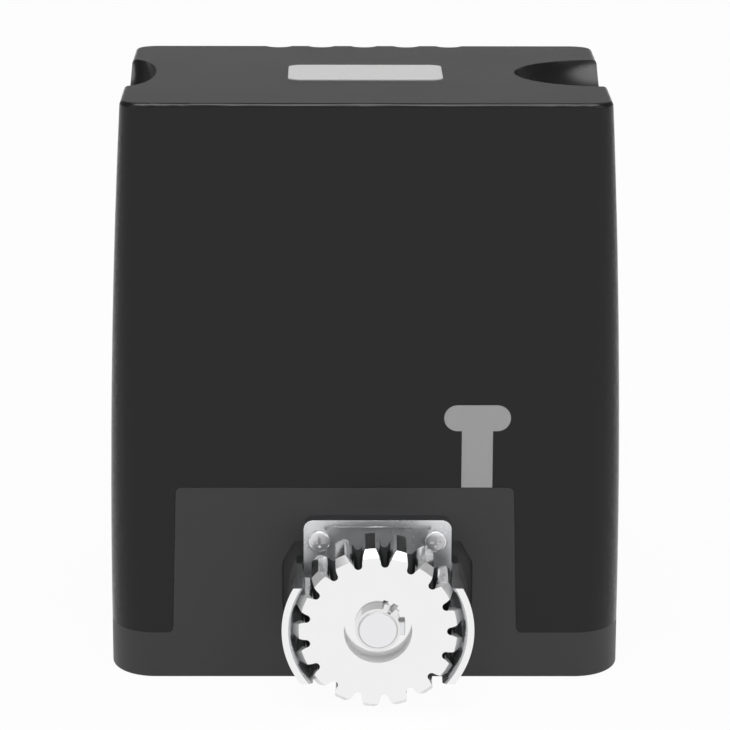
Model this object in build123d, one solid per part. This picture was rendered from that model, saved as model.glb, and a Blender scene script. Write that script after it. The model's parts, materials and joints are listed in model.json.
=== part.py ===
from build123d import *
import os
from math import acos, atan2, cos, pi, radians, sin, sqrt, tan

# Sliding gate motor, in millimetres. X runs along the gate, +Y from the pinion side to the
# release side, +Z up. The origin is at the middle of the footprint, on the mounting plane.

# ---------------------------------------------------------------- driving dimensions
BODY_W = 231.0            # width of the base, along the gate
BODY_D = 185.0            # depth of the base
BODY_H = 271.5            # height of the cover's top edge above the pinion
TOP_DROP = 24.4           # how far the top falls towards the release side
CORNER_R = 20.0           # upright corners, at the base
TOP_CORNER_R = 9.5        # the same corners at the top of the cover
SIDE_R = 4130.0           # the cover's sides lean in on this long radius
TOP_NARROWING = 1.3       # the top is this much narrower a side on the release side
TOP_EDGE_R = 2.0          # rounding of the cover's top edge
SPLIT_Z = 22.0            # where the cover meets the base
COVER_WALL = 3.0
BASE_WALL = 6.0
FLOOR = 6.0               # thickness of the base floor
LIP_H = 10.0              # rim of the base that stands up inside the cover
FOOT_EDGE_R = 1.2         # rounding of the base's lower edge
LIP_GAP = 0.4             # play between that rim and the cover
SEAM_GAP = 0.15           # play around the panels that the cover closes on

REAR_PANEL_X = -9.2       # middle of the raised panel on the pinion side
REAR_PANEL_W = 151.9      # its width at the top
PANEL_FLARE = 3.9         # it widens by this down to the split line
PANEL_TOP = 92.5
PANEL_T = 4.0
PANEL_R = 2.8             # its upper corners
PANEL_FOOT_R = 2.6        # hollow corners where it grows out of the base
PANEL_FOOT_L = 4.0
FRONT_PANEL_W = 112.0     # raised panel around the release lever

SHAFT_X = 5.5             # output shaft axis
SHAFT_Z = 40.0
SHAFT_R = 10.0
SEAT_R = 12.0             # thicker stretch that carries the wheel and the clutch
NOSE_R = 9.0              # end that carries the pinion
RUN_FIT = 0.05            # radial play of a shaft in its bearing

PINION_MODULE = 4.0
PINION_TEETH = 17
PINION_L = 24.0
PINION_OUT = 41.0         # pinion face in front of the body
PINION_SHIFT = 0.55       # profile shift, in modules
GAP_MIDDLE_R = 32.5       # the round bottoms of the tooth gaps are centred on this radius
PINION_CHAMFER_R = 2.8     # teeth chamfered towards the front face
PINION_CHAMFER_L = 4.0
HUB_RECESS_R = 15.2
HUB_RECESS_D = 6.4
KEY_W = 6.0
KEY_H = 6.0
KEY_OUT_R = 12.0          # outer face of the key from the shaft axis
SHAFT_END_IN = 1.0        # shaft end behind the pinion face
CLIP_IN = 0.8             # circlip behind the shaft end
CLIP_T = 1.2
CLIP_OUT_R = 10.1
CLIP_LUG_W = 2.3          # lugs for the pliers
CLIP_LUG_R = 12.8
CLIP_LUGS = (46.6, 71.0)  # their directions, in degrees
SPACER_R = 10.0

GUARD_R = 40.7            # outer radius of the guard wings
GUARD_T = 2.2
GUARD_LIP_R = 42.8        # lip turned out along their front edges
GUARD_LIP_T = 2.5
GUARD_LIP_ROUND = 2.0     # rounding inside the lip
GUARD_ABOVE = 20.5        # the wings end this far above the axis
GUARD_SLOPE = 2.0         # and this much lower at the plate
GUARD_BELOW = 25.5
EAR_HALF_W = 33.2         # half width of the guard plate
EAR_TOP = 39.3            # plate top above the axis
EAR_T = 6.5
EAR_R = 4.3
DISH_HALF_W = 22.6        # sunk middle of the plate
DISH_TOP = 35.4
DISH_D = 1.8
DISH_R = 1.5              # rounding of its rim
GUARD_SCREW_X = 26.1      # screws from the axis
GUARD_SCREW_Z = 29.6
GUARD_SCREW_R = 2.5
GUARD_HEAD_R = 4.8
GUARD_HEAD_H = 2.6
GUARD_SEAT_D = 0.6        # screw seats sunk into the plate
GUARD_SEAT_R = 5.6
GUARD_BORE_R = 15.0       # hole for the shaft

RECESS_R = 43.0           # shallow recess that takes the guard's flange, round below
RECESS_TOP = 26.7         # flat top, with its two corners cut off
RECESS_CUT_X = 5.5
RECESS_CUT_Z = 10.2
RECESS_D = 2.5
REAR_PAD_T = 10.0         # thick wall that the recess is cut into
POCKET_R = 44.0           # pocket of the release lever
POCKET_D = 10.0
BACK_T = 4.0              # floor of the pocket, and the pad's margin round the recess

WHEEL_MODULE = 2.0
WHEEL_TEETH = 26
WHEEL_T = 12.0
WORM_R = 9.0              # pitch radius of the worm
WHEEL_Y = -25.0           # middle plane of the wheel, where the worm stands
WORM_L = 32.0
THREAD_T = 2.6            # thread thickness at the pitch line
MESH_PLAY = 0.5

CASE_WALL = 4.0
CASE_REAR = REAR_PAD_T - BODY_D / 2   # rear face of the gearbox casting, against the base
CASE_FRONT = 0.0
CASE_TOP = 74.0
CASE_COVER_T = 8.0
FLANGE_Z = 84.0
FLANGE_T = 8.0
FLANGE_R = 52.0
BEARING_R = 21.0          # 20 x 42 x 12 ball bearing
BEARING_T = 12.0
SEAL_R = 17.5
SEAL_T = 7.0

MOTOR_R = 50.0
MOTOR_H = 96.0
MOTOR_WALL = 6.0
STATOR_H = 55.0
STATOR_BORE_R = 28.0
ROTOR_GAP = 0.5
COIL_H = 12.0
WORM_LOW_BEARING_R = 14.0  # 12 x 28 x 8
WORM_LOW_BEARING_T = 8.0
WORM_LOW_SHAFT_R = 6.0
WORM_TOP_BEARING_R = 17.5  # 15 x 35 x 11
WORM_TOP_BEARING_T = 11.0
ROTOR_SHAFT_R = 7.5
CAP_BEARING_R = 16.0       # 12 x 32 x 10
CAP_BEARING_T = 10.0
END_CAP_T = 16.0

CLUTCH_R = 20.0
CLUTCH_L = 8.0
CLUTCH_STROKE = 5.0
DOG_H = 4.0
DOG_IN_R = 14.0
DOG_OUT_R = 19.0
DOG_ANGLE = 34.0
DOG_GAP = 0.3
ROD_R = 3.9
CROSS_PIN_R = 2.5

T_X = 50.0                # limit sensor window
T_HEAD_W = 29.8
T_HEAD_H = 12.3
T_HEAD_Z = 125.75
T_STEM_W = 13.9
INSERT_GAP = 0.15
INSERT_LIP = 1.6

PLATE_W = 70.1            # bare name plate on the top
PLATE_L = 46.8
PLATE_R = 6.0
PLATE_T = 1.2
PLATE_SINK = 0.8
PLATE_Y = 1.3

FLUTE_R = 6.4
FLUTE_PITCH = 20.2
FLUTES = 5
FLUTE_OUT = 0.4           # flute axis in front of the face
FLUTE_FOOT = 118.0        # flutes start at this height

SCOOP_Y = 2.2             # grip scoops in the top's side edges
SCOOP_HALF_L = 44.0
SCOOP_DEPTH = 20.0
SCOOP_RIGHT = 40.0        # reach in from the side edge
SCOOP_LEFT = 12.8

BOLT_X = BODY_W / 2 - 25.5   # foundation bolts
BOLT_Y = BODY_D / 2 - 24.5
BOLT_HOLE_R = 5.5
BOLT_BOSS_R = 11.0
BOLT_BOSS_H = 2.0

GLAND_X = BODY_W / 2 - 31.5
GLAND_Y = 30.0
GLAND_HOLE_R = 10.0
CABLE_R = 5.5

TRAY_W = 168.0
TRAY_H = 112.0
TRAY_Z = 100.0
TRAY_Y = 44.0
TRAY_DEPTH = 26.0
TRAY_WALL = 2.5
BOARD_GAP = 1.0
BOARD_STAND = 8.0
BOARD_T = 1.6
BOARD_SCREW_R = 1.5
BOARD_SCREW_EDGE = 7.0
LEG_X = 50.0
LEG_W = 14.0
LEG_FOOT_L = 10.0
LEG_SCREW_Y = TRAY_Y - 5.0

RELAY_W = 19.0
RELAY_L = 15.0
RELAY_X = (-50.0, -26.0)
UPPER_ROW = 0.68          # height of the board's upper row, as a share of the tray
TERMINALS = 5
TERMINAL_W = 25.0
TERMINAL_H = 9.0
TERMINAL_D = 11.0
TERMINAL_PITCH = 28.0
TERMINAL_Z = 14.0         # above the tray's foot
POLES = 5
POLE_PITCH = 5.0
POLE_R = 1.6
FUSE_X = 2.0
FUSE_L = 20.0
FUSE_R = 2.6
CAN_R = 6.2               # smoothing capacitors
CAN_H = 18.0
CAN_X = (38.0, 54.0)
BUTTON_X = 66.0
BUTTON_Z = 36.0           # above the tray's foot
SWITCH_W = 12.0
SENSOR_W = 20.0
SENSOR_T = 8.0

CAPACITOR_R = 17.5
CAPACITOR_H = 68.0
CAPACITOR_X = 31.5 - BODY_W / 2
CAPACITOR_Y = -20.0
CLAMP_H = 20.0
CLAMP_L = 32.0            # tongue of the holder from the capacitor's axis
CLAMP_HALF_W = 8.0
CLAMP_SCREW_Y = CAPACITOR_Y + 26.0
CAPACITOR_TAB = 5.0       # tabs from the capacitor's axis

TRAFO_W = 54.0
TRAFO_X = BODY_W / 2 - BASE_WALL - 4 - TRAFO_W / 2
TRAFO_Y = -26.0
TRAFO_H = 45.0
TRAFO_D = 36.0
TRAFO_LIMB = 9.0
TRAFO_FOOT = 3.0
TRAFO_COIL = 9.0          # the coil stands this far out of the core
TRAFO_TOE = 12.0          # the foot reaches this far past the core
TRAFO_SCREW_X = 22.0

COVER_SCREW_Z = 27.0
COVER_SCREW_R = 2.0
COVER_SCREW_HEAD_R = 4.0
COVER_SCREW_L = 12.0

LEVER_T = 8.5
LEVER_REACH = 38.0
LEVER_W = 18.0
SPINDLE_R = 7.9
LOCK_R = 5.0
LOCK_X = 26.0             # lock from the lever's axis
CUP_R = 12.0
CUP_L = 20.0
CUP_WALL = 3.5
POCKET_LOW = 15.0         # the pocket's window reaches this far below the lever's axis
POCKET_RIGHT = 17.0
POCKET_CORNER_R = 6.0

M4_R = 2.2                # screws of the fittings on the floor
M4_HEAD_R = 3.8
M4_HEAD_H = 3.0
M5_R = 2.5                # screws of the gearbox and the motor
M5_HEAD_R = 4.25
M5_SOCKET_R = 2.3
CASE_FOOT_L = 18.0        # gearbox feet from the worm and from the shaft
CASE_FOOT_R = 29.0
CASE_FOOT_Y = 9.0
CASE_SCREW_X = 29.0       # cover screws from the shaft
CASE_SCREW_Z = 28.0
GLAND_HEX_R = 13.5
GLAND_NUT_R = 10.5
GLAND_NUT_H = 8.0

# ---------------------------------------------------------------- places worked out
REAR = -BODY_D / 2
FRONT = BODY_D / 2
PINION_FACE = REAR - PINION_OUT
PINION_BACK = PINION_FACE + PINION_L
WHEEL_R = WHEEL_MODULE * WHEEL_TEETH / 2
WORM_X = SHAFT_X - WHEEL_R - WORM_R
WORM_PITCH = pi * WHEEL_MODULE
MOTOR_Z = FLANGE_Z + FLANGE_T
MOTOR_TOP = MOTOR_Z + MOTOR_H
STATOR_Z = MOTOR_Z + (MOTOR_H - STATOR_H) / 2
POCKET_FLOOR = FRONT - POCKET_D
BOARD_Y = TRAY_Y + TRAY_WALL + BOARD_STAND
TOP_SLOPE = TOP_DROP / BODY_D
XZ = Plane.XZ             # drawings seen from the pinion side


def top_z(y):
    """Height of the sloping top at y."""
    return BODY_H - TOP_SLOPE * (y - REAR)


def block(x0, x1, y0, y1, z0, z1):
    """Box between two corners."""
    return Pos((x0 + x1) / 2, (y0 + y1) / 2, (z0 + z1) / 2) * Box(x1 - x0, y1 - y0, z1 - z0)


def post(radius, x, y, z0, z1):
    """Upright round bar."""
    return Pos(x, y, (z0 + z1) / 2) * Cylinder(radius, z1 - z0)


def bar(radius, x, z, y0, y1):
    """Round bar that runs along Y."""
    return Pos(x, (y0 + y1) / 2, z) * Rot(90, 0, 0) * Cylinder(radius, y1 - y0)


def side_bar(radius, y, z, x0, x1):
    """Round bar that runs along X."""
    return Pos((x0 + x1) / 2, y, z) * Rot(0, 90, 0) * Cylinder(radius, x1 - x0)


def prism(sketch, y0, y1):
    """A drawing in X and Z made solid between two depths."""
    return Pos(0, y1, 0) * extrude(XZ * sketch, y1 - y0)


def plan(inset, z0, z1):
    """Upright prism of the body's footprint, its walls moved in by inset."""
    outline = RectangleRounded(BODY_W - 2 * inset, BODY_D - 2 * inset, CORNER_R - inset)
    return Pos(0, 0, z0) * extrude(outline, z1 - z0)


def side_x(z, inset=0.0):
    """Half width of the body at height z."""
    radius = SIDE_R - inset
    return BODY_W / 2 - inset - (radius - sqrt(radius ** 2 - (z - SPLIT_Z) ** 2))


def body_section(z, inset):
    """Outline of the cover at height z: its corners tighten and one side narrows upwards."""
    rise = (z - SPLIT_Z) / (BODY_H - SPLIT_Z)
    wide = side_x(z, inset)
    narrow = wide - TOP_NARROWING * rise
    half_d = BODY_D / 2 - inset
    radius = CORNER_R + (TOP_CORNER_R - CORNER_R) * rise - inset
    outline = Polygon((-wide, -half_d), (wide, -half_d), (narrow, half_d), (-narrow, half_d),
                      align=None)
    return Plane.XY.offset(z) * fillet(outline.vertices(), radius)


def body_form(inset, foot):
    """The cover's form from height foot up, its walls and top moved in by inset."""
    half_d = BODY_D / 2 - inset
    lid = BODY_H + 6
    form = loft([body_section(foot + (lid - foot) * k / 3, inset) for k in range(4)])
    lean = Polygon((-half_d, foot), (half_d, foot), (half_d, top_z(half_d) - inset),
                   (-half_d, top_z(-half_d) - inset), align=None)
    return form & (Pos(-BODY_W, 0, 0) * extrude(Plane.YZ * lean, 2 * BODY_W))


def panel_sketch(middle, width, play=0.0):
    """Raised panel of the base, wider towards the split line, with every corner rounded."""
    top, low = width / 2 + play, (width + PANEL_FLARE) / 2 + play
    foot = low + PANEL_FOOT_L
    z1 = PANEL_TOP + play
    right = [(foot, SPLIT_Z - PANEL_FOOT_L), (foot, SPLIT_Z), (low, SPLIT_Z), (top, z1)]
    left = [(-x, z) for x, z in reversed(right)]
    face = Pos(middle, 0) * Polygon(*right, *left, align=None)
    levels = face.vertices().group_by(Axis.Y)
    face = fillet(levels[-1], PANEL_R + play)
    hollow = [v for v in face.vertices()
              if abs(v.Y - SPLIT_Z) < 0.01 and abs(v.X - middle) < low + 0.01]
    return fillet(hollow, PANEL_FOOT_R)


def flute_tool(grow=0.0):
    """Upright half-round grooves in the front face."""
    tools = []
    for i in range(FLUTES):
        x = (i - (FLUTES - 1) / 2) * FLUTE_PITCH
        tools.append(post(FLUTE_R + grow, x, FRONT + FLUTE_OUT, FLUTE_FOOT, BODY_H))
        tools.append(Pos(x, FRONT + FLUTE_OUT, FLUTE_FOOT) * Sphere(FLUTE_R + grow))
    return tools


def scoop_tool(side, reach, grow=0.0):
    """Egg-shaped bowl cut into the top's side edge as a grip."""
    x = side * (side_x(top_z(SCOOP_Y)) - TOP_NARROWING / 2)
    shape = scale(Sphere(1.0), by=(reach + grow, SCOOP_HALF_L + grow, SCOOP_DEPTH + grow))
    return Pos(x, SCOOP_Y, top_z(SCOOP_Y)) * shape


def t_sketch(grow=0.0, foot=None):
    """Letter-T outline of the sensor window: a round-ended bar on a stem."""
    foot = PANEL_TOP + SEAM_GAP if foot is None else foot
    bar_shape = Pos(T_X, T_HEAD_Z) * SlotOverall(T_HEAD_W + 2 * grow, T_HEAD_H + 2 * grow)
    stem_h = T_HEAD_Z - foot
    stem = Pos(T_X, foot + stem_h / 2) * Rectangle(T_STEM_W + 2 * grow, stem_h)
    return bar_shape + stem


def plate_tool(height, grow=0.0):
    """Name plate outline on the sloping top, as deep as height."""
    place = Plane(origin=(0, PLATE_Y, top_z(PLATE_Y) - PLATE_SINK), x_dir=(1, 0, 0),
                  z_dir=(0, TOP_SLOPE, 1))
    return extrude(place * RectangleRounded(PLATE_W + 2 * grow, PLATE_L + 2 * grow,
                                            PLATE_R + grow), height)


# ---------------------------------------------------------------- cover
def cover_shell():
    """Moulded hood: thin walls, grip scoops, flutes and cut-outs for both panels."""
    outer = body_form(0, SPLIT_Z)
    rim = [e for e in outer.edges() if e.bounding_box().min.Z > SPLIT_Z + 150]
    outer = fillet(rim, TOP_EDGE_R)
    inner = body_form(COVER_WALL, SPLIT_Z)
    for side, reach in ((1, SCOOP_RIGHT), (-1, SCOOP_LEFT)):
        outer -= scoop_tool(side, reach)
        inner -= scoop_tool(side, reach, COVER_WALL)
    for tool in flute_tool():
        outer -= tool
    for tool in flute_tool(COVER_WALL):
        inner -= tool
    shell = outer - inner
    deep = COVER_WALL + 1
    shell -= prism(panel_sketch(REAR_PANEL_X, REAR_PANEL_W, SEAM_GAP), REAR - 1, REAR + deep)
    shell -= prism(panel_sketch(SHAFT_X, FRONT_PANEL_W, SEAM_GAP), FRONT - deep, FRONT + 1)
    shell -= prism(t_sketch(INSERT_GAP, PANEL_TOP), REAR - 1, REAR + deep)
    shell -= plate_tool(3 * PLATE_SINK, INSERT_GAP)
    for side in (-1, 1):
        x = side * side_x(COVER_SCREW_Z)
        shell -= side_bar(COVER_SCREW_R + RUN_FIT, 0, COVER_SCREW_Z, x - 6, x + 6)
        shell -= screw_head_cone(side, RUN_FIT)
    return shell


def screw_head_cone(side, grow=0.0):
    """Countersunk head of a cover screw, its flat side flush with the cover."""
    depth = COVER_SCREW_HEAD_R - COVER_SCREW_R
    x = side * (side_x(COVER_SCREW_Z) - depth / 2)
    cone = Cone(COVER_SCREW_R + grow, COVER_SCREW_HEAD_R + grow, depth)
    return Pos(x, 0, COVER_SCREW_Z) * Rot(0, side * 90, 0) * cone


def cover_screws():
    """Two countersunk screws through the cover's sides."""
    screws = []
    for side in (-1, 1):
        head_x = side_x(COVER_SCREW_Z) - (COVER_SCREW_HEAD_R - COVER_SCREW_R)
        ends = sorted((side * head_x, side * (head_x - COVER_SCREW_L)))
        screw = screw_head_cone(side) + side_bar(COVER_SCREW_R, 0, COVER_SCREW_Z, *ends)
        cross = Pos(side * side_x(COVER_SCREW_Z), 0, COVER_SCREW_Z)
        screw -= cross * Box(2.0, 4.0, 1.0)
        screw -= cross * Box(2.0, 1.0, 4.0)
        screws.append(screw)
    return screws


def clamp_nuts():
    """Square nuts that clamp the base rim between themselves and the cover."""
    nuts = []
    for side in (-1, 1):
        inner = BODY_W / 2 - BASE_WALL
        ends = sorted((side * inner, side * (inner - 4)))
        nut = block(*ends, -5, 5, COVER_SCREW_Z - 4, COVER_SCREW_Z + 4)
        nuts.append(nut - side_bar(COVER_SCREW_R, 0, COVER_SCREW_Z, *ends))
    return nuts


def sensor_window():
    """Plain T-shaped filler of the sensor's slot, with a lip behind the cover wall."""
    face = prism(t_sketch(0, PANEL_TOP + SEAM_GAP), REAR, REAR + COVER_WALL)
    lip = prism(t_sketch(INSERT_LIP, PANEL_TOP + 2 * SEAM_GAP),
                REAR + COVER_WALL, REAR + COVER_WALL + 0.6)
    return face + lip


def name_plate():
    """Thin bare plate let into the top."""
    return plate_tool(PLATE_T)


# ---------------------------------------------------------------- base
def recess_sketch(radius, flat):
    """Circle about the shaft below, straight sides and a flat top with cut corners above."""
    half, low = radius - RECESS_CUT_X, flat - RECESS_CUT_Z
    upper = Polygon((-radius, 0), (radius, 0), (radius, low), (half, flat), (-half, flat),
                    (-radius, low), align=None)
    lower = Circle(radius) & (Pos(0, -radius) * Rectangle(3 * radius, 2 * radius))
    return Pos(SHAFT_X, SHAFT_Z) * (upper + lower)


def pocket_sketch(grow=0.0):
    """Quarter of a circle and a bit, in which the release lever turns."""
    circle = Pos(SHAFT_X, SHAFT_Z) * Circle(POCKET_R + grow)
    low, right = POCKET_LOW + grow, POCKET_RIGHT + grow
    width, height = POCKET_R + grow + right, POCKET_R + grow + low
    window = Pos(SHAFT_X + right - width / 2, SHAFT_Z - low + height / 2)
    frame = window * RectangleRounded(width, height, POCKET_CORNER_R + grow)
    return circle & frame


def base_housing():
    """Tub with a thick floor, a rim inside the cover, and a raised panel on two sides."""
    tub = plan(0, 0, SPLIT_Z) + plan(COVER_WALL + LIP_GAP, SPLIT_Z, SPLIT_Z + LIP_H)
    foot = [e for e in tub.edges() if e.bounding_box().max.Z < 0.01]
    tub = fillet(foot, FOOT_EDGE_R)
    tub -= plan(BASE_WALL, FLOOR, SPLIT_Z + LIP_H + 1)
    tub += prism(panel_sketch(REAR_PANEL_X, REAR_PANEL_W), REAR, REAR + PANEL_T)
    tub += prism(panel_sketch(SHAFT_X, FRONT_PANEL_W), FRONT - PANEL_T, FRONT)
    # thick pads behind the panels hold the recess and the lever's pocket
    rear_pad = recess_sketch(RECESS_R + BACK_T, RECESS_TOP + BACK_T)
    tub += prism(rear_pad, REAR, REAR + REAR_PAD_T) & plan(0, 0, PANEL_TOP)
    tub -= prism(recess_sketch(RECESS_R, RECESS_TOP), REAR - 1, REAR + RECESS_D)
    tub += prism(pocket_sketch(BACK_T), POCKET_FLOOR - BACK_T, FRONT)
    tub -= prism(pocket_sketch(), POCKET_FLOOR, FRONT + 1)
    # shaft holes
    tub -= bar(SEAL_R + CASE_WALL + SEAM_GAP, SHAFT_X, SHAFT_Z, REAR - 1, CASE_REAR)
    tub -= bar(SPINDLE_R + 0.1, SHAFT_X, SHAFT_Z, POCKET_FLOOR - BACK_T - 1, FRONT)
    # open slots in the rim for the cover screws
    for side in (-1, 1):
        x = side * (BODY_W / 2 - BASE_WALL / 2 - 1)
        slot_r = COVER_SCREW_R + 0.4
        top = SPLIT_Z + LIP_H + 1
        tub -= side_bar(slot_r, 0, COVER_SCREW_Z, x - 5, x + 5)
        tub -= block(x - 5, x + 5, -slot_r, slot_r, COVER_SCREW_Z, top)
    for x, y in bolt_places():
        tub += post(BOLT_BOSS_R, x, y, FLOOR - 1, FLOOR + BOLT_BOSS_H)
        tub -= post(BOLT_HOLE_R, x, y, -1, FLOOR + BOLT_BOSS_H + 1)
    tub -= post(GLAND_HOLE_R, GLAND_X, GLAND_Y, -1, FLOOR + 1)
    for x, y in case_feet():
        tub -= post(3.0, x, y, -1, FLOOR + 1)
        tub -= post(5.6, x, y, -1, 3.0)
    for x, z in guard_screw_places():
        tub -= bar(GUARD_SCREW_R, x, z, REAR - 1, REAR + REAR_PAD_T + 1)
    return tub


def bolt_places():
    """Foundation bolt holes."""
    return [(sx * BOLT_X, sy * BOLT_Y) for sx in (-1, 1) for sy in (-1, 1)]


def case_feet():
    """Screws that hold the gearbox to the floor."""
    return [(x, y) for x in (WORM_X - CASE_FOOT_L, SHAFT_X + CASE_FOOT_R)
            for y in (CASE_REAR + CASE_FOOT_Y, CASE_FRONT - 2 * CASE_FOOT_Y)]


def cable_gland():
    """Screwed cable entry in the floor, with a hexagon and a domed nut."""
    gland = post(GLAND_HOLE_R, GLAND_X, GLAND_Y, 0.5, FLOOR)
    hexagon = extrude(RegularPolygon(GLAND_HEX_R, 6), 6)
    gland += Pos(GLAND_X, GLAND_Y, FLOOR) * hexagon
    nut_top = FLOOR + 6 + GLAND_NUT_H
    gland += post(GLAND_NUT_R, GLAND_X, GLAND_Y, FLOOR + 6, nut_top)
    gland += Pos(GLAND_X, GLAND_Y, nut_top + 2) * Cone(GLAND_NUT_R, GLAND_NUT_R - 2.5, 4)
    return gland - post(CABLE_R, GLAND_X, GLAND_Y, 0, nut_top + 6)


# ---------------------------------------------------------------- pinion, guard and shaft
def involute_point(base_r, radius, turn):
    """Point of an involute at a radius, turned by an angle in radians."""
    roll = acos(base_r / radius)
    angle = tan(roll) - roll + turn
    return radius * cos(angle), radius * sin(angle)


def gear_sketch():
    """Involute spur gear, one tooth pointing at the left."""
    pitch_r = PINION_MODULE * PINION_TEETH / 2
    tip_r = pitch_r + PINION_MODULE
    pressure = radians(20)
    base_r = pitch_r * cos(pressure)
    # half the angle of a tooth at the base circle, thickened by the profile shift
    half = (pi / 2 + 2 * PINION_SHIFT * tan(pressure)) / PINION_TEETH + tan(pressure) - pressure
    radii = [base_r + (tip_r - base_r) * k / 3 for k in range(4)]
    low = [involute_point(base_r, max(r, base_r + 1e-6), -half) for r in radii]
    high = [(x, -y) for x, y in low]
    inside = (base_r - 3) * cos(half), (base_r - 3) * sin(half)
    with BuildSketch() as tooth:
        with BuildLine():
            Spline(*low)
            ThreePointArc(low[-1], (tip_r, 0), high[-1])
            Spline(*reversed(high))
            Polyline(high[0], inside, (inside[0], -inside[1]), low[0])
        make_face()
    gear = Circle(GAP_MIDDLE_R)
    for i in range(PINION_TEETH):
        gear += Rot(0, 0, 180 + i * 360 / PINION_TEETH) * tooth.sketch
    # round bottoms that run into the flanks on both sides of each gap
    x, y = involute_point(base_r, GAP_MIDDLE_R, -half)
    gap_r = GAP_MIDDLE_R * sin(pi / PINION_TEETH + atan2(y, x))
    for i in range(PINION_TEETH):
        turn = 180 + (i + 0.5) * 360 / PINION_TEETH
        gear -= Rot(0, 0, turn) * Pos(GAP_MIDDLE_R, 0) * Circle(gap_r)
    return gear


def drive_pinion():
    """Steel pinion with chamfered teeth, a recessed hub and a keyway on the right."""
    tip_r = PINION_MODULE * (PINION_TEETH + 2) / 2
    teeth = Pos(SHAFT_X, 0, SHAFT_Z) * prism(gear_sketch(), PINION_FACE, PINION_BACK)
    chamfered = Polygon((0, PINION_FACE), (tip_r - PINION_CHAMFER_R, PINION_FACE),
                        (tip_r, PINION_FACE + PINION_CHAMFER_L), (tip_r, PINION_BACK - 1),
                        (tip_r - 1, PINION_BACK), (0, PINION_BACK), align=None)
    envelope = Pos(SHAFT_X, 0, SHAFT_Z) * revolve(chamfered, Axis.Y)
    gear = teeth & envelope
    gear -= bar(HUB_RECESS_R, SHAFT_X, SHAFT_Z, PINION_FACE - 1, PINION_FACE + HUB_RECESS_D)
    gear -= bar(NOSE_R, SHAFT_X, SHAFT_Z, PINION_FACE - 1, PINION_BACK + 1)
    slot = block(SHAFT_X, SHAFT_X + KEY_OUT_R + 0.1, PINION_FACE - 1, PINION_BACK + 1,
                 SHAFT_Z - KEY_W / 2 - 0.1, SHAFT_Z + KEY_W / 2 + 0.1)
    return gear - slot


def shaft_key():
    """Parallel key between shaft and pinion."""
    y0 = PINION_FACE + SHAFT_END_IN + CLIP_IN + CLIP_T + 0.3
    return block(SHAFT_X + KEY_OUT_R - KEY_H, SHAFT_X + KEY_OUT_R, y0, PINION_BACK - 2,
                 SHAFT_Z - KEY_W / 2, SHAFT_Z + KEY_W / 2)


def clip_y():
    """Front face of the circlip."""
    return PINION_FACE + SHAFT_END_IN + CLIP_IN


def clip_spacer():
    """Plain collar between the hub's floor and the circlip, slotted for the key."""
    y0, y1 = clip_y() + CLIP_T, PINION_FACE + HUB_RECESS_D
    collar = bar(SPACER_R, SHAFT_X, SHAFT_Z, y0, y1) - bar(NOSE_R, SHAFT_X, SHAFT_Z, y0, y1)
    return collar - block(SHAFT_X, SHAFT_X + SPACER_R + 1, y0 - 1, y1 + 1,
                          SHAFT_Z - KEY_W / 2, SHAFT_Z + KEY_W / 2)


def pinion_circlip():
    """Open spring ring with two lugs, in a groove of the shaft end."""
    y0 = clip_y()
    ring = Circle(CLIP_OUT_R)
    lug_l = CLIP_LUG_R - NOSE_R
    for angle in CLIP_LUGS:
        lug = RectangleRounded(lug_l, CLIP_LUG_W, 0.5)
        ring += Rot(0, 0, angle) * Pos(CLIP_LUG_R - lug_l / 2, 0) * lug
    between = sum(CLIP_LUGS) / 2
    opening = 2 * NOSE_R * sin(radians(CLIP_LUGS[1] - CLIP_LUGS[0]) / 2) - CLIP_LUG_W
    ring -= Rot(0, 0, between) * Pos(CLIP_LUG_R, 0) * Rectangle(2 * CLIP_LUG_R, opening)
    ring -= Circle(NOSE_R - 0.5)
    return Pos(SHAFT_X, 0, SHAFT_Z) * prism(ring, y0, y0 + CLIP_T)


def turned(radii):
    """Turned bar along the output axis from (y, radius) steps; the last pair ends it."""
    pieces = None
    for (y0, r0), (y1, _) in zip(radii, radii[1:]):
        step = bar(r0, SHAFT_X, SHAFT_Z, y0, y1)
        pieces = step if pieces is None else pieces + step
    return pieces


def shaft_end_y():
    """Front end of the output shaft."""
    return CASE_FRONT + CASE_COVER_T + BEARING_T + 4


def cross_y():
    """Where the clutch's cross pin sits along the shaft when engaged."""
    return WHEEL_Y + WHEEL_T / 2 + DOG_H + DOG_GAP + CLUTCH_L / 2


def output_shaft():
    """Stepped shaft: pinion nose, two bearing seats and a thicker middle."""
    nose = PINION_FACE + SHAFT_END_IN
    rear_seat_end = CASE_REAR + 2.5 + BEARING_T
    shaft = turned(((nose, NOSE_R), (PINION_BACK, SHAFT_R), (rear_seat_end, SEAT_R),
                    (CASE_FRONT - 2, SHAFT_R), (shaft_end_y(), 0)))
    ends = [e for e in shaft.edges().filter_by(GeomType.CIRCLE)
            if e.center().Y < nose + 0.01 or e.center().Y > shaft_end_y() - 0.01]
    shaft = chamfer(ends, 0.8)
    groove = bar(NOSE_R + 1, SHAFT_X, SHAFT_Z, clip_y(), clip_y() + CLIP_T)
    shaft -= groove - bar(NOSE_R - 0.5, SHAFT_X, SHAFT_Z, clip_y(), clip_y() + CLIP_T)
    key = shaft_key().bounding_box()
    shaft -= block(key.min.X, key.max.X, key.min.Y, key.max.Y, key.min.Z, key.max.Z)
    shaft -= bar(ROD_R + RUN_FIT, SHAFT_X, SHAFT_Z, cross_y() - 6, shaft_end_y() + 1)
    half = CROSS_PIN_R + 0.3
    shaft -= block(SHAFT_X - SEAT_R - 1, SHAFT_X + SEAT_R + 1, cross_y() - half,
                   cross_y() + CLUTCH_STROKE + half, SHAFT_Z - half, SHAFT_Z + half)
    return shaft


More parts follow.
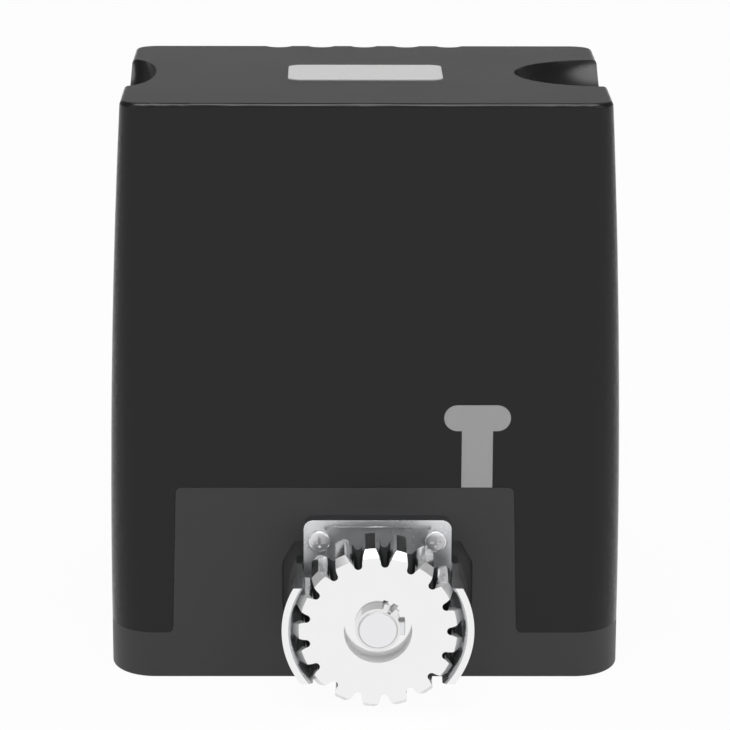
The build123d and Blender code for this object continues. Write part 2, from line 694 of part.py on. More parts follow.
def gear_guard():
    """Cast guard: dished plate with two ears, and two lipped wings round the pinion."""
    plate_y = REAR - EAR_T
    plate = guard_plate_sketch(EAR_HALF_W, EAR_TOP)
    plate = prism(fillet(plate.vertices().group_by(Axis.Y)[-1], EAR_R), plate_y, REAR)
    plate -= prism(guard_plate_sketch(DISH_HALF_W, DISH_TOP), plate_y - 1, plate_y + DISH_D)
    inner, lip_y = GUARD_R - GUARD_T, PINION_FACE + GUARD_LIP_T
    profile = Polygon((inner, REAR), (GUARD_R, REAR), (GUARD_R, lip_y), (GUARD_LIP_R, lip_y),
                      (GUARD_LIP_R, PINION_FACE), (inner, PINION_FACE), align=None)
    profile = fillet(profile.vertices().sort_by_distance((inner, PINION_FACE))[0],
                     GUARD_LIP_ROUND)
    wings = Pos(SHAFT_X, 0, SHAFT_Z) * revolve(profile, Axis.Y)
    back, low = REAR + RECESS_D, SHAFT_Z - GUARD_BELOW
    flange = bar(GUARD_R, SHAFT_X, SHAFT_Z, plate_y + DISH_D, back)
    side = Polygon((PINION_FACE, low), (back, low),
                   (back, SHAFT_Z + GUARD_ABOVE - GUARD_SLOPE),
                   (plate_y, SHAFT_Z + GUARD_ABOVE - GUARD_SLOPE),
                   (PINION_FACE, SHAFT_Z + GUARD_ABOVE), align=None)
    reach = extrude(Plane.YZ.offset(SHAFT_X - RECESS_R) * side, 2 * RECESS_R)
    guard = plate + ((wings + flange) & reach)
    rim = [e for e in guard.edges().filter_by(GeomType.LINE)
           if abs(e.center().Y - plate_y) < 0.01
           and (abs(abs(e.center().X - SHAFT_X) - DISH_HALF_W) < 0.01
                or abs(e.center().Z - SHAFT_Z - DISH_TOP) < 0.01)]
    guard = fillet(rim, DISH_R)
    guard -= bar(GUARD_BORE_R, SHAFT_X, SHAFT_Z, PINION_FACE, back + 1)
    for x, z in guard_screw_places():
        guard -= bar(GUARD_SCREW_R, x, z, plate_y - 1, REAR + 1)
        guard -= bar(GUARD_SEAT_R, x, z, plate_y - 1, plate_y + GUARD_SEAT_D)
    return guard


def guard_plate_sketch(half_w, top):
    """Rectangle from the wings' lower ends up to a height above the axis."""
    height = top + GUARD_BELOW
    return Pos(SHAFT_X, SHAFT_Z + top - height / 2) * Rectangle(2 * half_w, height)


def guard_screw_places():
    """Screws of the guard, in X and Z."""
    return [(SHAFT_X + side * GUARD_SCREW_X, SHAFT_Z + GUARD_SCREW_Z) for side in (-1, 1)]


def guard_screws():
    """Two pan-head screws with cross recesses."""
    screws = []
    under = REAR - EAR_T + GUARD_SEAT_D
    face = under - GUARD_HEAD_H
    for x, z in guard_screw_places():
        screw = bar(GUARD_SCREW_R, x, z, under, REAR + PANEL_T + 4)
        head = bar(GUARD_HEAD_R, x, z, face, under)
        outer = [e for e in head.edges().filter_by(GeomType.CIRCLE) if e.center().Y < under - 1]
        screw += fillet(outer, 0.8)
        for size in ((5.2, 1.2), (1.2, 5.2)):
            screw -= block(x - size[0] / 2, x + size[0] / 2, face - 1, face + 1.4,
                           z - size[1] / 2, z + size[1] / 2)
        screws.append(screw)
    return screws


# ---------------------------------------------------------------- gearbox
def gearbox_case():
    """Cast case: wheel chamber, upright worm bore, output nose and motor flange."""
    cavity_r = WHEEL_R + WHEEL_MODULE + 2
    right = SHAFT_X + cavity_r + CASE_WALL
    left = WORM_X - WORM_LOW_BEARING_R - 8
    case = block(left, right, CASE_REAR, CASE_FRONT, FLOOR, CASE_TOP)
    case = fillet(case.edges().filter_by(Axis.Z), 6)
    case += bar(SEAL_R + CASE_WALL, SHAFT_X, SHAFT_Z, REAR + 2.5, CASE_REAR)
    column_r = WORM_TOP_BEARING_R + 6
    case += post(column_r, WORM_X, WHEEL_Y, FLOOR, FLANGE_Z)
    case += post(FLANGE_R, WORM_X, WHEEL_Y, FLANGE_Z, MOTOR_Z)
    for angle in (45, 135, 225, 315):
        web = Pos(WORM_X, WHEEL_Y, 0) * Rot(0, 0, angle) * block(0, 34, -2.5, 2.5, CASE_TOP - 4,
                                                                FLANGE_Z)
        case += web
    case -= bar(SHAFT_R + 2.5, SHAFT_X, SHAFT_Z, REAR, CASE_FRONT + 1)
    case -= bar(BEARING_R, SHAFT_X, SHAFT_Z, CASE_REAR + 2.5, CASE_REAR + 2.5 + BEARING_T)
    case -= bar(SEAL_R, SHAFT_X, SHAFT_Z, REAR, REAR + 2.5 + SEAL_T)
    case -= bar(cavity_r, SHAFT_X, SHAFT_Z, WHEEL_Y - WHEEL_T / 2 - 5, CASE_FRONT + 1)
    case -= bar(BEARING_R, SHAFT_X, SHAFT_Z, CASE_REAR + 2.5, WHEEL_Y)
    case -= post(WORM_R + WHEEL_MODULE + 2, WORM_X, WHEEL_Y, FLOOR + 4, MOTOR_Z + 1)
    case -= post(WORM_LOW_BEARING_R, WORM_X, WHEEL_Y, FLOOR + 4,
                 FLOOR + 4 + WORM_LOW_BEARING_T)
    case -= post(WORM_TOP_BEARING_R, WORM_X, WHEEL_Y, worm_top_z(), MOTOR_Z + 1)
    for x, y in case_feet():
        case -= post(M5_R, x, y, FLOOR - 1, FLOOR + 12)
    for x, z in case_cover_places():
        case -= bar(M5_R, x, z, CASE_FRONT - 9, CASE_FRONT + 1)
    for x, y in tie_places():
        case -= post(M5_R, x, y, FLANGE_Z - 1, MOTOR_Z + 1)
    return case


def worm_top_z():
    """Seat of the bearing above the worm."""
    return MOTOR_Z - 6 - WORM_TOP_BEARING_T


def case_cover_places():
    """Screws of the gearbox cover."""
    return [(SHAFT_X + sx * CASE_SCREW_X, SHAFT_Z + sz * CASE_SCREW_Z)
            for sx in (-1, 1) for sz in (-1, 1)]


def tie_places():
    """Long bolts that hold the motor to the flange."""
    reach = (MOTOR_R - 5) / sqrt(2)
    return [(WORM_X + sx * reach, WHEEL_Y + sy * reach) for sx in (-1, 1) for sy in (-1, 1)]


def gearbox_case_screws():
    """Screws from under the floor into the gearbox feet."""
    screws = []
    for x, y in case_feet():
        screws.append(post(M5_R, x, y, 3.0, FLOOR + 11) + post(2 * M5_R, x, y, 0.4, 3.0))
    return screws


def gearbox_cover():
    """Cast lid of the wheel chamber with the front bearing's boss."""
    cavity_r = WHEEL_R + WHEEL_MODULE + 2
    right = SHAFT_X + cavity_r + CASE_WALL
    width = 2 * (right - SHAFT_X)
    lid = Pos(SHAFT_X, (FLOOR + CASE_TOP) / 2) * RectangleRounded(width, CASE_TOP - FLOOR, 8)
    cover = prism(lid, CASE_FRONT, CASE_FRONT + CASE_COVER_T)
    seat = CASE_FRONT + CASE_COVER_T - 4
    cover += bar(BEARING_R + 5, SHAFT_X, SHAFT_Z, CASE_FRONT, seat + BEARING_T + 2)
    cover -= bar(BEARING_R, SHAFT_X, SHAFT_Z, seat, seat + BEARING_T)
    cover -= bar(SEAT_R + 2, SHAFT_X, SHAFT_Z, CASE_FRONT - 1, seat + BEARING_T + 3)
    for x, z in case_cover_places():
        cover -= bar(3.0, x, z, CASE_FRONT - 1, CASE_FRONT + CASE_COVER_T + 1)
    return cover


def gearbox_cover_screws():
    """Socket-head screws of the gearbox cover."""
    screws = []
    face = CASE_FRONT + CASE_COVER_T
    for x, z in case_cover_places():
        screw = bar(M5_R, x, z, CASE_FRONT - 8, face) + bar(M5_HEAD_R, x, z, face, face + 5)
        socket = Pos(x, z) * RegularPolygon(M5_SOCKET_R, 6)
        screws.append(screw - prism(socket, face + 2, face + 6))
    return screws


def ball_bearing(bore_r, outer_r, width):
    """Sealed ball bearing about Z, from z = 0: two rings and a sunk shield."""
    ring = (outer_r - bore_r) * 0.28
    body = Cylinder(outer_r, width, align=(Align.CENTER, Align.CENTER, Align.MIN))
    body -= Pos(0, 0, -1) * Cylinder(bore_r, width + 2, align=(Align.CENTER, Align.CENTER,
                                                               Align.MIN))
    for z in (0, width - 0.6):
        groove = Cylinder(outer_r - ring, 0.6, align=(Align.CENTER, Align.CENTER, Align.MIN))
        groove -= Cylinder(bore_r + ring, 0.6, align=(Align.CENTER, Align.CENTER, Align.MIN))
        body -= Pos(0, 0, z) * groove
    return body


def shaft_bearing(y):
    """20 x 42 x 12 bearing on the output shaft, starting at y."""
    ring = ball_bearing(SHAFT_R + RUN_FIT, BEARING_R, BEARING_T)
    return Pos(SHAFT_X, y + BEARING_T, SHAFT_Z) * Rot(90, 0, 0) * ring


def oil_seal():
    """Rubber lip seal in the output nose."""
    y0 = REAR + 2.5
    seal = bar(SEAL_R, SHAFT_X, SHAFT_Z, y0, y0 + SEAL_T)
    seal -= bar(SHAFT_R + RUN_FIT, SHAFT_X, SHAFT_Z, y0 - 1, y0 + SEAL_T + 1)
    dish = bar(SEAL_R - 3, SHAFT_X, SHAFT_Z, y0, y0 + 1.5)
    return seal - (dish - bar(SHAFT_R + 2, SHAFT_X, SHAFT_Z, y0, y0 + 1.5))


def worm_bearing(bore_r, outer_r, width, z):
    """Bearing on the upright rotor shaft."""
    return Pos(WORM_X, WHEEL_Y, z) * ball_bearing(bore_r + RUN_FIT, outer_r, width)


def worm_wheel():
    """Bronze wheel with slanted teeth, and four dogs for the clutch on its front face."""
    tip_r = WHEEL_R + WHEEL_MODULE
    y0, y1 = WHEEL_Y - WHEEL_T / 2, WHEEL_Y + WHEEL_T / 2
    wheel = bar(tip_r, SHAFT_X, SHAFT_Z, y0, y1) + bar(DOG_OUT_R, SHAFT_X, SHAFT_Z, y1,
                                                       y1 + DOG_H)
    lead = WORM_PITCH / (2 * pi * WORM_R)
    slope = tan(radians(20))
    half = (WORM_PITCH / 2 + MESH_PLAY) / 2
    over, under = WHEEL_MODULE + 1, -1.25 * WHEEL_MODULE
    groove = Polygon((WHEEL_R + under, -half - under * slope),
                     (WHEEL_R + over, -half - over * slope),
                     (WHEEL_R + over, half + over * slope),
                     (WHEEL_R + under, half + under * slope), align=None)
    tool = prism(groove, -WHEEL_T, WHEEL_T)
    # the groove points at the worm, on the left, and leans along its thread
    tool = Rot(0, 180, 0) * tool
    tool = Rot(-180 / pi * -lead, 0, 0) * tool
    for i in range(WHEEL_TEETH):
        turn = Rot(0, i * 360 / WHEEL_TEETH, 0)
        wheel -= Pos(SHAFT_X, WHEEL_Y, SHAFT_Z) * turn * tool
    inner = bar(DOG_IN_R, SHAFT_X, SHAFT_Z, y1, y1 + DOG_H)
    wheel -= inner
    for i in range(4):
        wheel -= dog_gap(i * 90, 90 - DOG_ANGLE, y1, y1 + DOG_H)
    wheel -= bar(SEAT_R, SHAFT_X, SHAFT_Z, y0 - 1, y1 + 1)
    return wheel


def dog_gap(middle, width, y0, y1):
    """Wedge that opens the space between two clutch dogs."""
    reach = DOG_OUT_R + 6
    edge = tan(radians(width / 2)) * reach
    wedge = Rot(0, 0, middle) * Polygon((0, 0), (reach, -edge), (reach, edge), align=None)
    return Pos(SHAFT_X, 0, SHAFT_Z) * prism(wedge, y0, y1)


def clutch_ring():
    """Dog ring that locks the wheel to the shaft until the release pulls it back."""
    face = WHEEL_Y + WHEEL_T / 2 + DOG_H + DOG_GAP
    ring = bar(CLUTCH_R, SHAFT_X, SHAFT_Z, face, face + CLUTCH_L)
    dogs = bar(DOG_OUT_R, SHAFT_X, SHAFT_Z, face - DOG_H, face)
    dogs -= bar(DOG_IN_R, SHAFT_X, SHAFT_Z, face - DOG_H, face)
    for i in range(4):
        dogs -= dog_gap(45 + i * 90, 90 - DOG_ANGLE, face - DOG_H, face)
    ring += dogs
    ring -= bar(SEAT_R + 0.1, SHAFT_X, SHAFT_Z, face - DOG_H - 1, face + CLUTCH_L + 1)
    return ring - side_bar(CROSS_PIN_R, cross_y(), SHAFT_Z, SHAFT_X - 30, SHAFT_X + 30)


def cross_pin():
    """Pin through ring, shaft and push rod."""
    return side_bar(CROSS_PIN_R, cross_y(), SHAFT_Z, SHAFT_X - CLUTCH_R + 1,
                    SHAFT_X + CLUTCH_R - 1)


def cup_y():
    """Rear end of the release cup."""
    return POCKET_FLOOR - BACK_T - 30


def pull_rod():
    """Rod inside the shaft that pulls the clutch; its head sits in the release cup."""
    head = cup_y() + 4
    rod = bar(ROD_R, SHAFT_X, SHAFT_Z, cross_y() - 5, head)
    rod += bar(CUP_R - 4, SHAFT_X, SHAFT_Z, head, head + 4)
    return rod - side_bar(CROSS_PIN_R, cross_y(), SHAFT_Z, SHAFT_X - 30, SHAFT_X + 30)


def worm_shaft():
    """Rotor shaft with the worm cut on its lower end."""
    low = FLOOR + 4
    top = MOTOR_TOP + CAP_BEARING_T
    z0, z1 = SHAFT_Z - WORM_L / 2, SHAFT_Z + WORM_L / 2
    core_r = WORM_R - 1.25 * WHEEL_MODULE
    shaft = post(WORM_LOW_SHAFT_R, WORM_X, WHEEL_Y, low, low + WORM_LOW_BEARING_T)
    shaft += post(core_r, WORM_X, WHEEL_Y, low + WORM_LOW_BEARING_T, worm_top_z())
    shaft += post(ROTOR_SHAFT_R, WORM_X, WHEEL_Y, worm_top_z(), MOTOR_TOP)
    shaft += post(WORM_LOW_SHAFT_R, WORM_X, WHEEL_Y, MOTOR_TOP, top)
    slope = tan(radians(20))
    root_r, tip_r = core_r - 0.4, WORM_R + WHEEL_MODULE
    wide = THREAD_T / 2 + (WORM_R - root_r) * slope
    thin = THREAD_T / 2 - WHEEL_MODULE * slope
    # the thread crosses the wheel's middle plane on the side that faces the wheel
    turns = WORM_L / WORM_PITCH
    whole = round(turns)
    height = whole * WORM_PITCH
    spiral = Helix(WORM_PITCH, height, WORM_R)
    section = Plane(origin=spiral @ 0, x_dir=(1, 0, 0), z_dir=spiral % 0)
    tooth = Polygon((root_r - WORM_R, -wide), (tip_r - WORM_R, -thin),
                    (tip_r - WORM_R, thin), (root_r - WORM_R, wide), align=None)
    thread = sweep(section * tooth, path=spiral, is_frenet=True)
    start = SHAFT_Z - (whole // 2) * WORM_PITCH
    return shaft + Pos(WORM_X, WHEEL_Y, start) * thread


# ---------------------------------------------------------------- motor
def rotor_core():
    """Laminated rotor with end rings."""
    rotor_r = STATOR_BORE_R - ROTOR_GAP
    core = post(rotor_r, WORM_X, WHEEL_Y, STATOR_Z, STATOR_Z + STATOR_H)
    core += post(rotor_r - 4, WORM_X, WHEEL_Y, STATOR_Z - 5, STATOR_Z + STATOR_H + 5)
    return core - post(ROTOR_SHAFT_R, WORM_X, WHEEL_Y, STATOR_Z - 6, STATOR_Z + STATOR_H + 6)


def motor_housing():
    """Finned aluminium tube of the motor."""
    inner_r = MOTOR_R - MOTOR_WALL
    tube = Circle(MOTOR_R - 2) - Circle(inner_r - 2)
    for i in range(28):
        tube += Rot(0, 0, i * 360 / 28) * Pos(MOTOR_R - 1.5, 0) * Rectangle(4, 2.6)
    housing = Pos(WORM_X, WHEEL_Y, MOTOR_Z) * extrude(tube, MOTOR_H)
    for x, y in tie_places():
        lug = post(5.5, x, y, MOTOR_Z, MOTOR_TOP)
        lug -= post(inner_r - 2, WORM_X, WHEEL_Y, MOTOR_Z, MOTOR_TOP)
        housing += lug
    for x, y in tie_places():
        housing -= post(2.5, x, y, MOTOR_Z - 1, MOTOR_TOP + 1)
    return housing


def stator_core():
    """Ring of laminations pressed into the housing."""
    ring = post(MOTOR_R - MOTOR_WALL - 2, WORM_X, WHEEL_Y, STATOR_Z, STATOR_Z + STATOR_H)
    return ring - post(STATOR_BORE_R, WORM_X, WHEEL_Y, STATOR_Z - 1, STATOR_Z + STATOR_H + 1)


def stator_windings():
    """Coil heads above and below the laminations."""
    coils = []
    for z in (STATOR_Z - COIL_H, STATOR_Z + STATOR_H):
        outer_r = MOTOR_R - MOTOR_WALL - 5
        coil = post(outer_r, WORM_X, WHEEL_Y, z, z + COIL_H)
        coil -= post(STATOR_BORE_R + 2, WORM_X, WHEEL_Y, z - 1, z + COIL_H + 1)
        coils.append(chamfer(coil.edges().filter_by(GeomType.CIRCLE), 3))
    return coils


def motor_end_cap():
    """Cast lid of the motor with the top bearing's seat."""
    cap = post(MOTOR_R, WORM_X, WHEEL_Y, MOTOR_TOP, MOTOR_TOP + END_CAP_T)
    top = [e for e in cap.edges().filter_by(GeomType.CIRCLE)
           if e.center().Z > MOTOR_TOP + 1]
    cap = fillet(top, 4)
    cap -= post(CAP_BEARING_R, WORM_X, WHEEL_Y, MOTOR_TOP - 1, MOTOR_TOP + CAP_BEARING_T)
    for x, y in tie_places():
        cap -= post(M5_HEAD_R + 0.95, x, y, MOTOR_TOP + 8, MOTOR_TOP + END_CAP_T + 1)
        cap -= post(M5_R, x, y, MOTOR_TOP - 1, MOTOR_TOP + END_CAP_T)
    return cap


def motor_tie_bolts():
    """Four long bolts through cap, housing and flange."""
    bolts = []
    for x, y in tie_places():
        bolt = post(M5_R, x, y, FLANGE_Z + 1, MOTOR_TOP + 8)
        bolt += post(M5_HEAD_R, x, y, MOTOR_TOP + 8, MOTOR_TOP + 12)
        socket = extrude(RegularPolygon(M5_SOCKET_R, 6), 3)
        bolts.append(bolt - Pos(x, y, MOTOR_TOP + 9.5) * socket)
    return bolts


# ---------------------------------------------------------------- release
def release_lever():
    """Lever in the front pocket, with its spindle and the cup that pulls the rod."""
    y0, y1 = POCKET_FLOOR + SEAM_GAP, POCKET_FLOOR + SEAM_GAP + LEVER_T
    hub = Circle(LEVER_W / 2 + 3)
    length = LEVER_REACH - LEVER_W / 2
    arm = Pos(-length / 2, 0) * Rectangle(length, LEVER_W) + Pos(-length, 0) * Circle(LEVER_W / 2)
    lever = Pos(SHAFT_X, 0, SHAFT_Z) * prism(hub + arm, y0, y1)
    front = [e for e in lever.edges() if e.bounding_box().min.Y > y1 - 0.01]
    lever = fillet(front, 1.5)
    lever += bar(SPINDLE_R, SHAFT_X, SHAFT_Z, cup_y() + CUP_L - 5, y0)
    cup = bar(CUP_R, SHAFT_X, SHAFT_Z, cup_y(), cup_y() + CUP_L)
    cup -= bar(CUP_R - CUP_WALL, SHAFT_X, SHAFT_Z, cup_y() + 2, cup_y() + CUP_L - 5)
    cup -= bar(ROD_R + 0.5, SHAFT_X, SHAFT_Z, cup_y() - 1, cup_y() + 3)
    lever += cup
    return lever - bar(LOCK_R + RUN_FIT, SHAFT_X - LOCK_X, SHAFT_Z, y0 + 1.5, y1 + 1)


def lock_barrel():
    """Round lock in the lever, with a key slot."""
    y0 = POCKET_FLOOR + SEAM_GAP + 1.5
    y1 = POCKET_FLOOR + SEAM_GAP + LEVER_T - 0.3
    x = SHAFT_X - LOCK_X
    lock = bar(LOCK_R, x, SHAFT_Z, y0 + 0.3, y1)
    return lock - block(x - 0.7, x + 0.7, y1 - 4, y1 + 1, SHAFT_Z - 3.2, SHAFT_Z + 3.2)


# ---------------------------------------------------------------- electrics
def tray_corners():
    """Places of the board's screws in X and Z."""
    half_w = TRAY_W / 2 - TRAY_WALL - BOARD_GAP - BOARD_SCREW_EDGE
    half_h = TRAY_H / 2 - TRAY_WALL - BOARD_GAP - BOARD_SCREW_EDGE
    middle = TRAY_Z + TRAY_H / 2
    return [(sx * half_w, middle + sz * half_h) for sx in (-1, 1) for sz in (-1, 1)]


def board_tray():
    """Plastic tray on two legs that holds the circuit board."""
    tray = block(-TRAY_W / 2, TRAY_W / 2, TRAY_Y, TRAY_Y + TRAY_DEPTH, TRAY_Z, TRAY_Z + TRAY_H)
    tray = fillet(tray.edges().filter_by(Axis.Y), 5)
    tray -= block(-TRAY_W / 2 + TRAY_WALL, TRAY_W / 2 - TRAY_WALL, TRAY_Y + TRAY_WALL,
                  TRAY_Y + TRAY_DEPTH + 1, TRAY_Z + TRAY_WALL, TRAY_Z + TRAY_H - TRAY_WALL)
    for x, z in tray_corners():
        tray += bar(4, x, z, TRAY_Y + 1, BOARD_Y)
        tray -= bar(BOARD_SCREW_R, x, z, TRAY_Y + 3, BOARD_Y + 1)
    for side in (-1, 1):
        x = side * LEG_X
        tray += block(x - LEG_W / 2, x + LEG_W / 2, TRAY_Y, TRAY_Y + 6, FLOOR, TRAY_Z + 2)
        tray += block(x - LEG_W / 2, x + LEG_W / 2, TRAY_Y - LEG_FOOT_L, TRAY_Y + 6, FLOOR,
                      FLOOR + 4)
        tray -= post(M4_R, x, LEG_SCREW_Y, FLOOR - 1, FLOOR + 5)
    return tray


def tray_screws():
    """Screws of the tray's feet."""
    screws = []
    for side in (-1, 1):
        screws.append(floor_screw(side * LEG_X, LEG_SCREW_Y, FLOOR + 4))
    return screws


def floor_screw(x, y, top):
    """Pan-head screw that holds a fitting down, its head on the fitting's top."""
    return post(M4_R, x, y, FLOOR, top) + post(M4_HEAD_R, x, y, top, top + M4_HEAD_H)


def circuit_board():
    """Printed circuit board on the tray's posts."""
    half_w = TRAY_W / 2 - TRAY_WALL - BOARD_GAP
    z0 = TRAY_Z + TRAY_WALL + BOARD_GAP
    z1 = TRAY_Z + TRAY_H - TRAY_WALL - BOARD_GAP
    board = block(-half_w, half_w, BOARD_Y, BOARD_Y + BOARD_T, z0, z1)
    for x, z in tray_corners():
        board -= bar(BOARD_SCREW_R, x, z, BOARD_Y - 1, BOARD_Y + BOARD_T + 1)
    return board


def board_screws():
    """Four small screws of the circuit board."""
    screws = []
    face = BOARD_Y + BOARD_T
    for x, z in tray_corners():
        screws.append(bar(BOARD_SCREW_R, x, z, BOARD_Y - 4, face) + bar(2.9, x, z, face,
                                                                       face + 2))
    return screws


def on_board(x, z, width, height, depth):
    """Box-shaped component standing on the circuit board."""
    face = BOARD_Y + BOARD_T
    return block(x - width / 2, x + width / 2, face, face + depth, z - height / 2,
                 z + height / 2)


def relays():
    """Two relays that reverse the motor."""
    z = TRAY_Z + TRAY_H * UPPER_ROW
    boxes = [on_board(x, z, RELAY_W, RELAY_L, RELAY_L) for x in RELAY_X]
    return [fillet(b.edges().filter_by(Axis.Y), 1) for b in boxes]


def terminal_blocks():
    """Row of screw terminals along the board's lower edge."""
    blocks = []
    for i in range(TERMINALS):
        x = (i - (TERMINALS - 1) / 2) * TERMINAL_PITCH
        z = TRAY_Z + TERMINAL_Z
        terminal = on_board(x, z, TERMINAL_W, TERMINAL_H, TERMINAL_D)
        for k in range(POLES):
            at = x + (k - (POLES - 1) / 2) * POLE_PITCH
            face = BOARD_Y + BOARD_T + TERMINAL_D
            terminal -= bar(POLE_R, at, z + 1, face - 1.2, face + 1)
            terminal -= block(at - POLE_R, at + POLE_R, face - 8, face - 4, z - 5, z - 2.5)
        blocks.append(terminal)
    return blocks


def board_fuse():
    """Glass fuse in its clips."""
    z = TRAY_Z + TRAY_H * UPPER_ROW
    face = BOARD_Y + BOARD_T
    fuse = side_bar(FUSE_R, face + 5, z, FUSE_X, FUSE_X + FUSE_L)
    for x in (FUSE_X + 1, FUSE_X + FUSE_L - 4):
        fuse += block(x, x + 3, face, face + 7, z - 3.5, z + 3.5)
    return fuse


def board_capacitors():
    """Two round smoothing capacitors."""
    z = TRAY_Z + TRAY_H * 0.66
    face = BOARD_Y + BOARD_T
    cans = [bar(CAN_R, x, z, face, face + CAN_H) for x in CAN_X]
    return [fillet(c.edges().filter_by(GeomType.CIRCLE).sort_by(Axis.Y)[-1], 1) for c in cans]


def button_place():
    """Where the learn button stands on the board."""
    return BUTTON_X, TRAY_Z + BUTTON_Z


def button_switch():
    """Body of the learn switch."""
    x, z = button_place()
    body = on_board(x, z, SWITCH_W, SWITCH_W, 5)
    return body - bar(3.3, x, z, BOARD_Y + BOARD_T + 2, BOARD_Y + BOARD_T + 6)


def learn_button():
    """Round plunger of the learn switch."""
    x, z = button_place()
    face = BOARD_Y + BOARD_T
    return bar(3.2, x, z, face + 3.2, face + 9)


def limit_sensor():
    """Sensor module that looks out through the T-shaped window."""
    y0 = REAR + PANEL_T
    body = block(T_X - SENSOR_W / 2, T_X + SENSOR_W / 2, y0, y0 + SENSOR_T,
                 SHAFT_Z + RECESS_TOP + BACK_T + 3, T_HEAD_Z + 6)
    return fillet(body.edges().filter_by(Axis.Y), 2)


def run_capacitor():
    """Motor run capacitor standing on the floor."""
    z0 = FLOOR + 2
    can = post(CAPACITOR_R, CAPACITOR_X, CAPACITOR_Y, z0, z0 + CAPACITOR_H)
    can = fillet(can.edges().filter_by(GeomType.CIRCLE), 1.5)
    for dx in (-CAPACITOR_TAB, CAPACITOR_TAB):
        top = z0 + CAPACITOR_H
        can += block(CAPACITOR_X + dx - 0.4, CAPACITOR_X + dx + 0.4, CAPACITOR_Y - 3,
                     CAPACITOR_Y + 3, top - 1, top + 4)
    return can


def capacitor_clamp():
    """Plastic cup and strap that hold the capacitor."""
    holder = post(CAPACITOR_R + 2.5, CAPACITOR_X, CAPACITOR_Y, FLOOR, FLOOR + CLAMP_H)
    holder += block(CAPACITOR_X - CLAMP_HALF_W, CAPACITOR_X + CLAMP_HALF_W, CAPACITOR_Y,
                    CAPACITOR_Y + CLAMP_L, FLOOR, FLOOR + 3)
    holder -= post(CAPACITOR_R, CAPACITOR_X, CAPACITOR_Y, FLOOR + 2, FLOOR + CLAMP_H + 1)
    return holder - post(M4_R, CAPACITOR_X, CLAMP_SCREW_Y, FLOOR - 1, FLOOR + 4)


def clamp_screw():
    """Screw of the capacitor holder."""
    return floor_screw(CAPACITOR_X, CLAMP_SCREW_Y, FLOOR + 3)


def transformer_core():
    """Stack of E and I laminations."""
    z0 = FLOOR + TRAFO_FOOT
    x0, x1 = TRAFO_X - TRAFO_W / 2, TRAFO_X + TRAFO_W / 2
    y0, y1 = TRAFO_Y - TRAFO_D / 2, TRAFO_Y + TRAFO_D / 2
    core = block(x0, x1, y0, y1, z0, z0 + TRAFO_H)
    for side in (-1, 1):
        mid = TRAFO_X + side * 1.5 * TRAFO_LIMB
        core -= block(mid - TRAFO_LIMB / 2, mid + TRAFO_LIMB / 2, y0 - 1, y1 + 1,
                      z0 + TRAFO_LIMB, z0 + TRAFO_H - TRAFO_LIMB)
    return core


def transformer_winding():
    """Coil on the middle limb."""
    z0 = FLOOR + TRAFO_FOOT
    coil = block(TRAFO_X - 2 * TRAFO_LIMB, TRAFO_X + 2 * TRAFO_LIMB,
                 TRAFO_Y - TRAFO_D / 2 - TRAFO_COIL, TRAFO_Y + TRAFO_D / 2 + TRAFO_COIL,
                 z0 + TRAFO_LIMB, z0 + TRAFO_H - TRAFO_LIMB)
    coil = fillet(coil.edges().filter_by(Axis.Z), 4)
    return coil - block(TRAFO_X - TRAFO_LIMB, TRAFO_X + TRAFO_LIMB, TRAFO_Y - TRAFO_D / 2,
                        TRAFO_Y + TRAFO_D / 2, z0, z0 + TRAFO_H)


def transformer_bracket():
    """Steel foot under the transformer."""
    half = TRAFO_W / 2
    foot = block(TRAFO_X - half, TRAFO_X + half, TRAFO_Y - TRAFO_D / 2 - TRAFO_TOE,
                 TRAFO_Y + TRAFO_D / 2 + TRAFO_TOE, FLOOR, FLOOR + TRAFO_FOOT)
    foot = fillet(foot.edges().filter_by(Axis.Z), 4)
    for x, y in trafo_screw_places():
        foot -= post(M4_R, x, y, FLOOR - 1, FLOOR + TRAFO_FOOT + 1)
    return foot


def trafo_screw_places():
    """Screws of the transformer foot."""
    reach = TRAFO_D / 2 + TRAFO_TOE - 5
    return [(TRAFO_X + sx * TRAFO_SCREW_X, TRAFO_Y + sy * reach)
            for sx in (-1, 1) for sy in (-1, 1)]


def transformer_screws():
    """Four screws of the transformer foot."""
    return [floor_screw(x, y, FLOOR + TRAFO_FOOT) for x, y in trafo_screw_places()]


